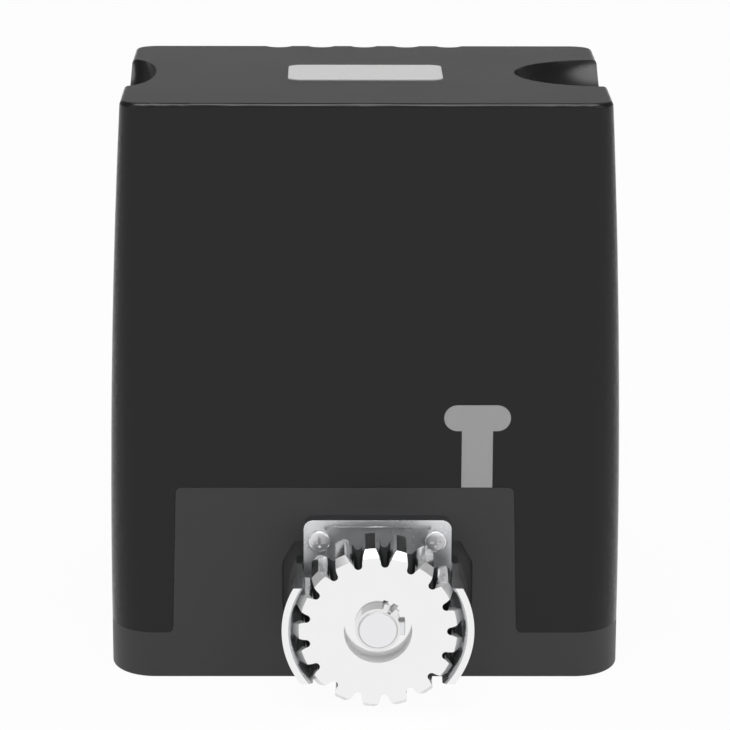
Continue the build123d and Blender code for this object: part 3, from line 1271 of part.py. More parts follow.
# ---------------------------------------------------------------- parts
PARTS = {
    "cover_shell": cover_shell, "cover_screws": cover_screws, "clamp_nuts": clamp_nuts,
    "sensor_window": sensor_window, "name_plate": name_plate,
    "base_housing": base_housing, "cable_gland": cable_gland,
    "drive_pinion": drive_pinion, "shaft_key": shaft_key, "clip_spacer": clip_spacer,
    "pinion_circlip": pinion_circlip, "output_shaft": output_shaft,
    "gear_guard": gear_guard, "guard_screws": guard_screws,
    "gearbox_case": gearbox_case, "gearbox_case_screws": gearbox_case_screws,
    "gearbox_cover": gearbox_cover, "gearbox_cover_screws": gearbox_cover_screws,
    "rear_shaft_bearing": lambda: shaft_bearing(CASE_REAR + 2.5),
    "front_shaft_bearing": lambda: shaft_bearing(CASE_FRONT + CASE_COVER_T - 4),
    "oil_seal": oil_seal,
    "worm_lower_bearing": lambda: worm_bearing(WORM_LOW_SHAFT_R, WORM_LOW_BEARING_R,
                                               WORM_LOW_BEARING_T, FLOOR + 4),
    "worm_upper_bearing": lambda: worm_bearing(ROTOR_SHAFT_R, WORM_TOP_BEARING_R,
                                               WORM_TOP_BEARING_T, worm_top_z()),
    "motor_top_bearing": lambda: worm_bearing(WORM_LOW_SHAFT_R, CAP_BEARING_R,
                                              CAP_BEARING_T, MOTOR_TOP),
    "worm_wheel": worm_wheel, "worm_shaft": worm_shaft, "rotor_core": rotor_core,
    "clutch_ring": clutch_ring, "cross_pin": cross_pin, "pull_rod": pull_rod,
    "motor_housing": motor_housing, "stator_core": stator_core,
    "stator_windings": stator_windings, "motor_end_cap": motor_end_cap,
    "motor_tie_bolts": motor_tie_bolts,
    "release_lever": release_lever, "lock_barrel": lock_barrel,
    "board_tray": board_tray, "tray_screws": tray_screws, "circuit_board": circuit_board,
    "board_screws": board_screws, "relays": relays, "terminal_blocks": terminal_blocks,
    "board_fuse": board_fuse, "board_capacitors": board_capacitors,
    "button_switch": button_switch, "learn_button": learn_button,
    "limit_sensor": limit_sensor, "run_capacitor": run_capacitor,
    "capacitor_clamp": capacitor_clamp, "clamp_screw": clamp_screw,
    "transformer_core": transformer_core, "transformer_winding": transformer_winding,
    "transformer_bracket": transformer_bracket, "transformer_screws": transformer_screws,
}

os.makedirs("parts", exist_ok=True)
for name, make in PARTS.items():
    shape = make()
    if isinstance(shape, list):
        shape = Compound(children=shape)
    shape.label = name
    export_step(shape, "parts/" + name + ".step")
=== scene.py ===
import json
from math import hypot, pi, radians
import bmesh
import bpy
from mathutils import Matrix, Vector

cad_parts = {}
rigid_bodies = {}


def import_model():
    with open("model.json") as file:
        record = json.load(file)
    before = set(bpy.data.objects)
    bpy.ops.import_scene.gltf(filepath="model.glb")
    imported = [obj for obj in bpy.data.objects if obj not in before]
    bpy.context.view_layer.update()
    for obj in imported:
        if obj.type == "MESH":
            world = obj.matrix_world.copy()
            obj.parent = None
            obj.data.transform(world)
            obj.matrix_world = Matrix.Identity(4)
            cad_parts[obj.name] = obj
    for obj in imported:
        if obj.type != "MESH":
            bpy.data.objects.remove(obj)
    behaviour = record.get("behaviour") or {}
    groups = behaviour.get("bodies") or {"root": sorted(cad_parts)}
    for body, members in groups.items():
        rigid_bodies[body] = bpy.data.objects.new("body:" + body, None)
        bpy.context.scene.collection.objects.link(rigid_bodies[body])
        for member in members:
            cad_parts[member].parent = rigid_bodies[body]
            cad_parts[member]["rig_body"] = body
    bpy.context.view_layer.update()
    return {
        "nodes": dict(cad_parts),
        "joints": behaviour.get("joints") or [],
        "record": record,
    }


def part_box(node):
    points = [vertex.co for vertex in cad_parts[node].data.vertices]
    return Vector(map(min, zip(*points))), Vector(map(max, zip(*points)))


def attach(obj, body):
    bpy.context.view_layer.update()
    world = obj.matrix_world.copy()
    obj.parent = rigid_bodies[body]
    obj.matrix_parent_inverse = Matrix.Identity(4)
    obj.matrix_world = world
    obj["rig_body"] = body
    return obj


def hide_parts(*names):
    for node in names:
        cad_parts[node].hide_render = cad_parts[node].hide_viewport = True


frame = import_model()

# ---- Studio: white card, soft boxes and the camera ----
# Matt white card under the object, in a white room. The camera and bright metal see the card
# as plain white, with a faint shadow. Gloss sees dim walls, a lighter one in front and a
# bright soft box overhead, which darkens the hood's sides and draws its edges.
scene = bpy.context.scene


def linear(hex_colour):
    """Turn an sRGB hex colour into linear red, green, blue and alpha."""
    values = [int(hex_colour[i:i + 2], 16) / 255 for i in (1, 3, 5)]
    return [v / 12.92 if v <= 0.04045 else ((v + 0.055) / 1.055) ** 2.4 for v in values] + [1.0]


def node(material, kind, settings=None, **links):
    """Add a node to a material, with its settings, and join its named sockets."""
    tree = material.node_tree
    made = tree.nodes.new(kind)
    for key, value in (settings or {}).items():
        if isinstance(key, str) and hasattr(made, key):
            setattr(made, key, value)
        else:
            made.inputs[key].default_value = value
    for name, source in links.items():
        tree.links.new(source, made.inputs[name.replace("_", " ")])
    return made


def blended(material, share, first, second):
    """Mix two shaders of a material or the world, by an output or a plain number."""
    mix = node(material, "ShaderNodeMixShader")
    if isinstance(share, float):
        mix.inputs[0].default_value = share
    else:
        material.node_tree.links.new(share, mix.inputs[0])
    material.node_tree.links.new(first, mix.inputs[1])
    material.node_tree.links.new(second, mix.inputs[2])
    return mix.outputs[0]


def bare_material(name):
    """A material with an empty node tree."""
    material = bpy.data.materials.new(name)
    material.use_nodes = True
    material.node_tree.nodes.clear()
    return material


def seen_rays(material):
    """Outputs that are 1 for what mirrors and glass see, and for what the camera sees."""
    rays = node(material, "ShaderNodeLightPath")
    mirrored = node(material, "ShaderNodeMath", {"operation": "MAXIMUM"})
    material.node_tree.links.new(rays.outputs["Is Glossy Ray"], mirrored.inputs[0])
    material.node_tree.links.new(rays.outputs["Is Transmission Ray"], mirrored.inputs[1])
    return mirrored.outputs[0], rays.outputs["Is Camera Ray"]


CARD_WHITE = "#f4f4f4"
CARD_GLOW = 0.95                   # share of plain white that the camera sees in the card
FLOOR_SIZE = 8.0
card = bare_material("matt_white_card")
mirrored, looked_at = seen_rays(card)
matt = node(card, "ShaderNodeBsdfDiffuse", {"Color": linear(CARD_WHITE)}).outputs[0]
glow = node(card, "ShaderNodeEmission", {"Color": (1, 1, 1, 1), "Strength": 1.0}).outputs[0]
faint = blended(card, CARD_GLOW, matt, glow)
to_camera = blended(card, looked_at, matt, faint)
node(card, "ShaderNodeOutputMaterial", Surface=blended(card, mirrored, to_camera, glow))

shape = bmesh.new()
bmesh.ops.create_grid(shape, x_segments=1, y_segments=1, size=FLOOR_SIZE / 2)
floor_mesh = bpy.data.meshes.new("floor")
shape.to_mesh(floor_mesh)
shape.free()
floor = bpy.data.objects.new("floor", floor_mesh)
scene.collection.objects.link(floor)
floor_mesh.materials.append(card)

ROOM_LIGHT = 0.42
WALL_LOW, WALL_HIGH = 0.17, 0.04   # how bright gloss sees the walls, low down and above
FRONT_WALL = 0.5                   # added to the wall in front of the object
CEILING_BOX = 7.0                  # added by the soft box overhead
WALL_DIMS = (0.2, 0.6)             # the walls darken between these, 1 being straight up
BOX_BEGINS = (0.88, 0.95)          # the soft box begins between these
FRONT_BEGINS = (-0.1, -0.5)        # and the front wall between these, -1 being straight ahead
world = bpy.data.worlds.new("studio")
world.use_nodes = True
world.node_tree.nodes.clear()
mirrored, looked_at = seen_rays(world)
plain = node(world, "ShaderNodeBackground", {"Color": (1, 1, 1, 1), "Strength": ROOM_LIGHT})
white = node(world, "ShaderNodeBackground", {"Color": (1, 1, 1, 1), "Strength": 1.0})
where = node(world, "ShaderNodeTexCoord").outputs["Generated"]
way = node(world, "ShaderNodeSeparateXYZ", Vector=where)
total = None
for axis, (start, end), first, last in (("Z", WALL_DIMS, WALL_LOW, WALL_HIGH),
                                        ("Z", BOX_BEGINS, 0.0, CEILING_BOX),
                                        ("Y", FRONT_BEGINS, 0.0, FRONT_WALL)):
    share = node(world, "ShaderNodeMapRange", {"From Min": start, "From Max": end,
                                               "To Min": first, "To Max": last},
                 Value=way.outputs[axis]).outputs["Result"]
    if total is not None:
        both = node(world, "ShaderNodeMath", {"operation": "ADD"})
        world.node_tree.links.new(total, both.inputs[0])
        world.node_tree.links.new(share, both.inputs[1])
        share = both.outputs["Value"]
    total = share
walls = node(world, "ShaderNodeBackground", {"Color": (1, 1, 1, 1)}, Strength=total)
half = blended(world, looked_at, plain.outputs[0], white.outputs[0])
node(world, "ShaderNodeOutputWorld", Surface=blended(world, mirrored, half, walls.outputs[0]))
scene.world = world

AIM = Vector((0, 0, 0.14))         # the middle of the object, which the soft boxes face
for name, place, size, power in (("top_box", (-0.15, -0.5, 1.9), 1.3, 11),
                                 ("left_box", (-1.4, -1.2, 1.2), 1.0, 4),
                                 ("right_box", (1.4, -1.3, 1.2), 1.4, 9),
                                 ("back_box", (0.2, 2.0, 0.95), 1.2, 0.6)):
    lamp = bpy.data.lights.new(name, "AREA")
    lamp.size = size
    lamp.energy = power
    holder = bpy.data.objects.new(name, lamp)
    holder.location = place
    holder.rotation_euler = (AIM - Vector(place)).to_track_quat("-Z", "Y").to_euler()
    scene.collection.objects.link(holder)

CAMERA_PLACE = Vector((-0.01424, -1.9007, 0.7920))
CAMERA_TILT, CAMERA_TURN, CAMERA_ROLL = 19.52, 0.44, 0.19   # degrees
LENS, SENSOR = 212.97, 36.0
camera_data = bpy.data.cameras.new("camera")
camera_data.lens = LENS
camera_data.sensor_width = SENSOR
camera = bpy.data.objects.new("camera", camera_data)
camera.matrix_world = (Matrix.Translation(CAMERA_PLACE)
                       @ Matrix.Rotation(radians(-CAMERA_TURN), 4, "Z")
                       @ Matrix.Rotation(radians(90 - CAMERA_TILT), 4, "X")
                       @ Matrix.Rotation(radians(CAMERA_ROLL), 4, "Z"))
scene.collection.objects.link(camera)
scene.camera = camera
scene.view_settings.view_transform = "Standard"

# ---- Base: the tub that everything stands on ----
# Glass-filled nylon, injection moulded, dark grey. The glass dulls it to satin, under a fine
# eroded grain from the mould.
MM = 0.001
SLOT = {row["node"]: row["material_slot"] for row in frame["record"]["subparts"]}
CLOUD_MM = 35             # a moulding's gloss drifts over about this length
GLOSS_DRIFT = 0.04


def moulded(name, colour, rough, grain_mm, depth_mm, level):
    """A moulded plastic: the mould's fine grain in relief, drawn a little coarser than it is so
    that it shows, and a slight unevenness in its gloss."""
    material = bare_material(name)
    where = node(material, "ShaderNodeTexCoord").outputs["Object"]
    grain = node(material, "ShaderNodeTexNoise", {"Scale": 1 / (grain_mm * MM), "Detail": 3.0},
                 Vector=where)
    cloud = node(material, "ShaderNodeTexNoise", {"Scale": 1 / (CLOUD_MM * MM), "Detail": 2.0},
                 Vector=where)
    gloss = node(material, "ShaderNodeMapRange", {"To Min": rough - GLOSS_DRIFT,
                                                  "To Max": rough + GLOSS_DRIFT},
                 Value=cloud.outputs["Fac"])
    bump = node(material, "ShaderNodeBump", {"Strength": 0.25, "Distance": depth_mm * MM},
                Height=grain.outputs["Fac"])
    plastic = node(material, "ShaderNodeBsdfPrincipled",
                   {"Base Color": linear(colour), "IOR": 1.5, "Specular IOR Level": level},
                   Roughness=gloss.outputs["Result"], Normal=bump.outputs["Normal"])
    node(material, "ShaderNodeOutputMaterial", Surface=plastic.outputs[0])
    return material


def shown(name, mesh, materials, edge_mm, corner):
    """Put a mesh in the scene with its materials, small roundings and flat-looking faces."""
    for material in materials:
        mesh.materials.append(material)
    piece = bpy.data.objects.new(name, mesh)
    scene.collection.objects.link(piece)
    if edge_mm:
        bevel = piece.modifiers.new("edge", "BEVEL")
        bevel.width = edge_mm * MM
        bevel.segments = 2
        bevel.limit_method = "ANGLE"
        bevel.angle_limit = radians(corner)
    even = piece.modifiers.new("flat_faces", "WEIGHTED_NORMAL")
    even.weight = 100
    even.keep_sharp = True
    return piece


def mark_corners(work, corner):
    """Shade faces smooth, except across edges sharper than a corner, in degrees."""
    for face in work.faces:
        face.smooth = True
    for edge in work.edges:
        edge.smooth = len(edge.link_faces) == 2 and edge.calc_face_angle(0) < radians(corner)


def skin(part, material, edge_mm=0.0, corner=32, zones=()):
    """Finish a part: merge its surface, round its edges, give it its material. Each zone is
    another material and a test of a face's middle that says where it goes."""
    source = frame["nodes"][part]
    mesh = bpy.data.meshes.new(part + "_skin")
    work = bmesh.new()
    work.from_mesh(source.data)
    bmesh.ops.remove_doubles(work, verts=work.verts, dist=1e-6)
    mark_corners(work, corner)
    for face in work.faces:
        face.material_index = 0
        for i, (_, inside) in enumerate(zones):
            if inside(face.calc_center_median()):
                face.material_index = i + 1
    work.to_mesh(mesh)
    work.free()
    piece = shown(part + "_skin", mesh, [material] + [z[0] for z in zones], edge_mm, corner)
    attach(piece, source["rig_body"])
    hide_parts(part)


base_nylon = moulded("satin_moulded_nylon", "#383839", 0.45, 0.5, 0.03, 0.35)
skin("base_housing", base_nylon)

# ---- Cable gland: screwed entry in the floor ----
# Black polyamide with a hexagon and a domed nut, moulded and left glossy. The supply cable
# comes up through it from the plinth.
gland_nylon = moulded("glossy_black_polyamide", "#161617", 0.3, 0.6, 0.01, 0.45)
skin("cable_gland", gland_nylon, 0.3)

# ---- Gearbox: case and cover ----
# Pressure-cast aluminium, left as cast: pale grey, matt, with a fine orange-peel skin. The
# bearing seats are bored afterwards, which hardly shows.
SMEAR_MM = 11             # a metal's gloss changes over about this length


def metal(name, colour, rough, grain_mm=0.0, depth_mm=0.0, level=1.0):
    """A metal: uneven gloss, and a relief where it was cast. A duller plating or film has a
    lower level of metal."""
    material = bare_material(name)
    where = node(material, "ShaderNodeTexCoord").outputs["Object"]
    cloud = node(material, "ShaderNodeTexNoise", {"Scale": 1 / (SMEAR_MM * MM), "Detail": 4.0},
                 Vector=where)
    gloss = node(material, "ShaderNodeMapRange", {"To Min": rough - GLOSS_DRIFT,
                                                  "To Max": rough + GLOSS_DRIFT},
                 Value=cloud.outputs["Fac"])
    surface = node(material, "ShaderNodeBsdfPrincipled",
                   {"Base Color": linear(colour), "Metallic": level},
                   Roughness=gloss.outputs["Result"])
    if grain_mm:
        grain = node(material, "ShaderNodeTexNoise", {"Scale": 1 / (grain_mm * MM),
                                                      "Detail": 3.0}, Vector=where)
        bump = node(material, "ShaderNodeBump", {"Strength": 0.5, "Distance": depth_mm * MM},
                    Height=grain.outputs["Fac"])
        material.node_tree.links.new(bump.outputs["Normal"], surface.inputs["Normal"])
    node(material, "ShaderNodeOutputMaterial", Surface=surface.outputs[0])
    return material


cast_aluminium = metal("cast_aluminium", "#b3b5b7", 0.42, 1.1, 0.06)
skin("gearbox_case", cast_aluminium, 0.5)
skin("gearbox_cover", cast_aluminium, 0.5)

# ---- Bearings and seal ----
# Sealed ball bearings: ground rings of chrome steel, with black pressed shields between them.
# The lip seal at the pinion side is nitrile rubber, moulded and matt.
bearing_steel = metal("ground_bearing_steel", "#c9cacc", 0.14)
shield_rubber = moulded("black_nitrile_rubber", "#1a1a1a", 0.6, 0.7, 0.02, 0.4)
SHIELD_FROM, SHIELD_TO = 0.62, 0.86   # the shield's edges, as shares of the outer radius


def in_shield(part, axis):
    """Test for the faces between a bearing's two rings."""
    low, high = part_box(part)
    middle = (low + high) / 2
    others = [i for i in range(3) if i != axis]
    outer = (high[others[0]] - low[others[0]]) / 2
    return lambda p: SHIELD_FROM * outer < hypot(
        p[others[0]] - middle[others[0]], p[others[1]] - middle[others[1]]) < SHIELD_TO * outer


for part, axis in (("rear_shaft_bearing", 1), ("front_shaft_bearing", 1),
                   ("worm_lower_bearing", 2), ("worm_upper_bearing", 2),
                   ("motor_top_bearing", 2)):
    skin(part, bearing_steel, 0.2, zones=[(shield_rubber, in_shield(part, axis))])
skin("oil_seal", shield_rubber, 0.2)

# ---- Worm wheel ----
# Tin bronze, turned and hobbed, so its faces keep fine turning rings and its teeth are bright.
# It runs in grease inside the gearbox.


def feed(material, source, socket):
    """Lead an output into a socket of a material's surface."""
    surface = next(n for n in material.node_tree.nodes if n.type == "BSDF_PRINCIPLED")
    material.node_tree.links.new(source, surface.inputs[socket])


def turned(name, colour, rough, ring_mm, centre, axis="Y"):
    """A metal with turning rings about an axis, coarser than the real tenth of a millimetre
    so that they show."""
    material = metal(name, colour, rough)
    where = node(material, "ShaderNodeTexCoord").outputs["Object"]
    centred = node(material, "ShaderNodeMapping", {"Location": [-v for v in centre]},
                   Vector=where)
    rings = node(material, "ShaderNodeTexWave",
                 {"wave_type": "RINGS", "rings_direction": axis,
                  "Scale": pi / (10 * ring_mm * MM), "Distortion": 0.6},
                 Vector=centred.outputs["Vector"])
    bump = node(material, "ShaderNodeBump", {"Strength": 0.12, "Distance": 0.02 * MM},
                Height=rings.outputs["Fac"])
    feed(material, bump.outputs["Normal"], "Normal")
    return material


AXIS = [j for j in frame["joints"] if j["name"] == "output_spin"][0]["pos_m"]
bronze = turned("hobbed_tin_bronze", "#b98a4a", 0.25, 0.8, AXIS)
skin("worm_wheel", bronze, 0.15)

# ---- Output shaft, cross pin, clutch ring and pull rod ----
# Ground and turned steel, oiled, bright all over. The clutch ring's dogs are milled. The
# shaft's nose is zinc plated, dull round its side.
FRONT_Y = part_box("drive_pinion")[0].y
HUB_R, HUB_D = 15.2 * MM, 6.4 * MM    # the round recess in the pinion's face
NOSE_MIN_R = 6 * MM                   # between the shaft's bore and the side of its nose
NEAR = 0.1 * MM                       # a face's middle is on a plane when it is this near


def from_axis(p):
    """Distance of a point from the output shaft's axis."""
    return hypot(p.x - AXIS[0], p.z - AXIS[2])


ground_steel = turned("ground_shaft_steel", "#eaeaec", 0.16, 0.7, AXIS)
dull_zinc = metal("dull_zinc_plate", "#e2e2e2", 0.45, level=0.2)
nose_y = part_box("output_shaft")[0].y
skin("output_shaft", ground_steel, 0.15, zones=[
    (dull_zinc, lambda p: nose_y + NEAR < p.y < FRONT_Y + HUB_D and
     from_axis(p) > NOSE_MIN_R)])
for part, edge in (("clutch_ring", 0.25), ("pull_rod", 0.2)):
    skin(part, ground_steel, edge)
plain_steel = metal("ground_steel", "#e2e3e5", 0.16)
skin("cross_pin", plain_steel, 0.3)

# ---- Rotor: worm shaft and laminated core ----
# The worm is cut and ground on the end of the rotor shaft. The core is a stack of punched
# sheets with cast aluminium rings; the sheets are drawn 1.2 mm thick so that they show.


def stacked(name, colour, seam_colour, sheet_mm, direction, rough=0.5):
    """Stacked sheet metal: dark seams between the sheets."""
    material = metal(name, colour, rough)
    where = node(material, "ShaderNodeTexCoord").outputs["Object"]
    seams = node(material, "ShaderNodeTexWave",
                 {"wave_type": "BANDS", "bands_direction": direction,
                  "Scale": pi / (10 * sheet_mm * MM), "Distortion": 0.3}, Vector=where)
    tone = node(material, "ShaderNodeValToRGB", Fac=seams.outputs["Fac"])
    tone.color_ramp.elements[0].color = linear(seam_colour)
    tone.color_ramp.elements[0].position = 0.1
    tone.color_ramp.elements[1].color = linear(colour)
    tone.color_ramp.elements[1].position = 0.4
    bump = node(material, "ShaderNodeBump", {"Strength": 0.4, "Distance": 0.1 * MM},
                Height=seams.outputs["Fac"])
    feed(material, tone.outputs["Color"], "Base Color")
    feed(material, bump.outputs["Normal"], "Normal")
    return material


SHEET_MM = 1.2
skin("worm_shaft", plain_steel)
upright_sheets = stacked("punched_rotor_sheets", "#8d8f92", "#3b3c3e", SHEET_MM, "Z")
core_low, core_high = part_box("rotor_core")
RING_H = 5 * MM           # the cast rings reach this far past the sheets
skin("rotor_core", upright_sheets, 0.2, zones=[
    (cast_aluminium, lambda p: not core_low.z + RING_H < p.z < core_high.z - RING_H)])

# ---- Motor: finned housing, end cap, laminated stator and coil heads ----
# Extruded aluminium tube with cooling fins, closed by a cast cap. The coil heads are bundles
# of enamelled copper wire, glossy brown, tied and varnished.
extruded_aluminium = metal("extruded_aluminium", "#c3c5c7", 0.32)
skin("motor_housing", extruded_aluminium, 0.2)
skin("motor_end_cap", cast_aluminium, 0.4)
skin("stator_core", upright_sheets)
WIRE_MM = 1.6
coil_copper = stacked("varnished_copper_wire", "#b0602c", "#5a2a12", WIRE_MM, "DIAGONAL", 0.3)
skin("stator_windings", coil_copper, 1.2)

# ---- Screws, bolts and nuts inside ----
# Bright zinc-plated steel, cold headed, with a thin bluish passivation.
screw_steel = metal("zinc_plated_screw_steel", "#c4c8ce", 0.22)
for part in ("gearbox_case_screws", "gearbox_cover_screws", "motor_tie_bolts", "tray_screws",
             "board_screws", "clamp_screw", "transformer_screws", "clamp_nuts"):
    skin(part, screw_steel, 0.2)

# ---- Release lever and its lock ----
# The lever is moulded glass-filled nylon, grey, in the pocket on the base's far side. The
# lock's barrel is die-cast zinc, nickel plated and polished.
lever_nylon = moulded("grey_moulded_nylon", "#5c5d5f", 0.42, 0.5, 0.03, 0.4)
skin("release_lever", lever_nylon, 0.2)
lock_nickel = metal("polished_nickel_plate", "#cfccc4", 0.12)
skin("lock_barrel", lock_nickel, 0.3)

# ---- Board tray ----
# Black moulded ABS on two legs. The circuit board stands on its four posts.
tray_abs = moulded("black_moulded_abs", "#1d1d1e", 0.45, 0.5, 0.02, 0.4)
skin("board_tray", tray_abs, 0.3)

# ---- Circuit board ----
# Glass-epoxy sheet under green solder mask, glossy. The copper tracks show faintly under the
# mask, drawn as a grid of coarse lines, wider than the real ones so that they show.
TRACK_STEP, TRACK_W = 6.0 * MM, 1.3 * MM
board_green = moulded("green_solder_mask", "#1d5a33", 0.25, 1.0, 0.01, 0.5)
where = node(board_green, "ShaderNodeTexCoord").outputs["Object"]
upright = node(board_green, "ShaderNodeMapping", {"Rotation": (radians(90), 0, 0)}, Vector=where)
tracks = node(board_green, "ShaderNodeTexBrick",
              {"Color1": linear("#174c2a"), "Color2": linear("#1b5530"),
               "Mortar": linear("#2f7a4b"), "Scale": 1.0, "Mortar Size": TRACK_W / 2,
               "Brick Width": 3 * TRACK_STEP, "Row Height": TRACK_STEP},
              Vector=upright.outputs["Vector"])
feed(board_green, tracks.outputs["Color"], "Base Color")
skin("circuit_board", board_green, 0.1)
board_low, board_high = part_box("circuit_board")
BOARD_FACE = board_high.y

# ---- Relays, terminals, fuse, capacitors and the learn switch ----
# Moulded blocks stand on the board: blue relays, green terminals, a glass fuse in tinned
# clips, capacitors in black sleeves with bare aluminium tops, and a switch with a red button.
relay_blue = moulded("blue_moulded_pbt", "#1f4f9a", 0.28, 0.8, 0.01, 0.5)
skin("relays", relay_blue, 0.3)
terminal_green = moulded("green_moulded_polyamide", "#2f8a45", 0.4, 0.6, 0.01, 0.45)
skin("terminal_blocks", terminal_green, 0.15)
tinned = metal("tinned_brass", "#c8c9c6", 0.28)
fuse_low, fuse_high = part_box("board_fuse")
fuse_glass = bare_material("clear_fuse_glass")
glass = node(fuse_glass, "ShaderNodeBsdfPrincipled",
             {"Base Color": linear("#eef2f0"), "Roughness": 0.05, "IOR": 1.5,
              "Transmission Weight": 0.6})
node(fuse_glass, "ShaderNodeOutputMaterial", Surface=glass.outputs[0])
CLIP_REACH = 6 * MM
skin("board_fuse", tinned, 0.1, zones=[
    (fuse_glass, lambda p: fuse_low.x + CLIP_REACH < p.x < fuse_high.x - CLIP_REACH)])
sleeve_black = moulded("black_pvc_sleeve", "#141519", 0.3, 1.0, 0.01, 0.5)
CAN_TOP, CAN_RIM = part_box("board_capacitors")[1].y, 0.3 * MM
skin("board_capacitors", sleeve_black, 0.2, zones=[
    (extruded_aluminium, lambda p: p.y > CAN_TOP - CAN_RIM)])
skin("button_switch", tray_abs, 0.2)
button_red = moulded("red_moulded_abs", "#a8281f", 0.35, 0.6, 0.01, 0.45)
skin("learn_button", button_red, 0.3)


def made(name, shape, material, body, slot_name, edge_mm=0.0, corner=32):
    """Turn a finished bmesh into a piece that rides on a body."""
    bmesh.ops.recalc_face_normals(shape, faces=shape.faces)
    mark_corners(shape, corner)
    mesh = bpy.data.meshes.new(name)
    shape.to_mesh(mesh)
    shape.free()
    piece = shown(name, mesh, [material], edge_mm, corner)
    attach(piece, body)


def add_block(shape, middle, size):
    """Add a box to a bmesh."""
    place = Matrix.Translation(middle) @ Matrix.Diagonal((*size, 1.0))
    bmesh.ops.create_cube(shape, size=1.0, matrix=place)


def add_bar(shape, middle, radius, length, along, sides=16):
    """Add a round bar along X, Y or Z to a bmesh."""
    turn = {"X": Matrix.Rotation(pi / 2, 4, "Y"), "Y": Matrix.Rotation(pi / 2, 4, "X"),
            "Z": Matrix.Identity(4)}[along]
    bmesh.ops.create_cone(shape, cap_ends=True, segments=sides, radius1=radius, radius2=radius,
                          depth=length, matrix=Matrix.Translation(middle) @ turn)


# ---- Terminal screws ----
# Each terminal has five small slotted screws of tinned brass, sunk in the block's face. A
# head is a thin disc with a block on each side of its slot.
TERMINALS, POLES, BLOCK_W = 5, 5, 25 * MM
SCREW_R, SCREW_H, SLOT_W = 1.4 * MM, 1.0 * MM, 0.5 * MM
HEAD_W, DISC_H = 1.7 * SCREW_R, 0.4 * MM
HEAD_DEEP, DISC_DEEP, ABOVE_MIDDLE = 0.7 * MM, 1.0 * MM, 1 * MM
row_low, row_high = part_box("terminal_blocks")
pitch = (row_high.x - row_low.x - BLOCK_W) / (TERMINALS - 1)
heads = bmesh.new()
for i in range(TERMINALS):
    for k in range(POLES):
        x = row_low.x + i * pitch + BLOCK_W / 2 + (k - (POLES - 1) / 2) * BLOCK_W / POLES
        z = (row_low.z + row_high.z) / 2 + ABOVE_MIDDLE
        for side in (-1, 1):
            middle = (x, row_high.y - HEAD_DEEP, z + side * (SLOT_W + SCREW_R) / 2)
            add_block(heads, middle, (HEAD_W, SCREW_H, SCREW_R - SLOT_W))
        add_bar(heads, (x, row_high.y - DISC_DEEP, z), SCREW_R, DISC_H, "Y", 12)
made("terminal_screws", heads, tinned, "base", SLOT["board_screws"])

# ---- Chips, resistors and lamps on the board ----
# Black epoxy packages with tinned legs, brown resistors with their coloured rings left off,
# and two small lamps. Soldered flat on the board, clear of the bigger blocks.
chip_epoxy = moulded("black_moulded_epoxy", "#1b1b1c", 0.4, 0.5, 0.01, 0.4)
packages, legs = bmesh.new(), bmesh.new()
CHIP_H, CHIP_LIFT = 2.0 * MM, 0.4 * MM
LEG_PITCH, LEG_W, LEG_H, LEG_OUT = 1.6 * MM, 0.6 * MM, 1.0 * MM, 1.8 * MM
mid_z = (board_low.z + board_high.z) / 2
for x, z, width, height in ((-0.044, mid_z - 0.008, 16 * MM, 12 * MM),
                            (-0.012, mid_z - 0.010, 10 * MM, 8 * MM),
                            (0.020, mid_z - 0.008, 10 * MM, 8 * MM)):
    add_block(packages, (x, BOARD_FACE + CHIP_LIFT + CHIP_H / 2, z), (width, CHIP_H, height))
    count = int(width / LEG_PITCH)
    for k in range(count):
        leg_x = x + (k - (count - 1) / 2) * LEG_PITCH
        for side in (-1, 1):
            add_block(legs, (leg_x, BOARD_FACE + LEG_H / 2, z + side * (height / 2 + LEG_W)),
                      (LEG_W, LEG_H, LEG_OUT))
made("board_chips", packages, chip_epoxy, "base", SLOT["board_tray"], 0.25)
made("chip_legs", legs, tinned, "base", SLOT["board_screws"])

resistor_brown = moulded("brown_resistor_lacquer", "#8a5a33", 0.35, 0.8, 0.01, 0.45)
RESISTORS, IN_ROW, STEP_X, STEP_Z = 8, 4, 5.5 * MM, 12 * MM
BODY_R, BODY_L, BODY_LIFT = 1.2 * MM, 6 * MM, 1.6 * MM
WIRE_R, WIRE_L, WIRE_BEND, WIRE_DOWN = 0.35 * MM, 9 * MM, 4.4 * MM, 1.9 * MM
bodies, wires = bmesh.new(), bmesh.new()
for i in range(RESISTORS):
    x, z = 0.036 + STEP_X * (i % IN_ROW), mid_z - 0.014 + STEP_Z * (i // IN_ROW)
    add_bar(bodies, (x, BOARD_FACE + BODY_LIFT, z), BODY_R, BODY_L, "Z", 14)
    add_bar(wires, (x, BOARD_FACE + BODY_LIFT, z), WIRE_R, WIRE_L, "Z", 8)
    for side in (-1, 1):
        add_bar(wires, (x, BOARD_FACE + BODY_LIFT / 2, z + side * WIRE_BEND), WIRE_R, WIRE_DOWN,
                "Y", 8)
made("resistors", bodies, resistor_brown, "base", SLOT["board_tray"], 0.4)
made("resistor_wires", wires, tinned, "base", SLOT["board_screws"])

lamp_red = moulded("clear_red_lens", "#c23a2c", 0.15, 1.0, 0.01, 0.5)
LAMP_R, LAMP_H = 1.5 * MM, 4 * MM
lamp_z = mid_z - 0.010
lamps = bmesh.new()
for x in (-0.066, -0.060):
    add_bar(lamps, (x, BOARD_FACE + LAMP_H / 2, lamp_z), LAMP_R, LAMP_H, "Y")
    bmesh.ops.create_uvsphere(lamps, u_segments=16, v_segments=8, radius=LAMP_R,
                              matrix=Matrix.Translation((x, BOARD_FACE + LAMP_H, lamp_z)))
made("board_lamps", lamps, lamp_red, "base", SLOT["learn_button"])

# ---- Limit sensor ----
# Closed black ABS box behind the window, with the reed switches inside.
skin("limit_sensor", tray_abs, 0.3)

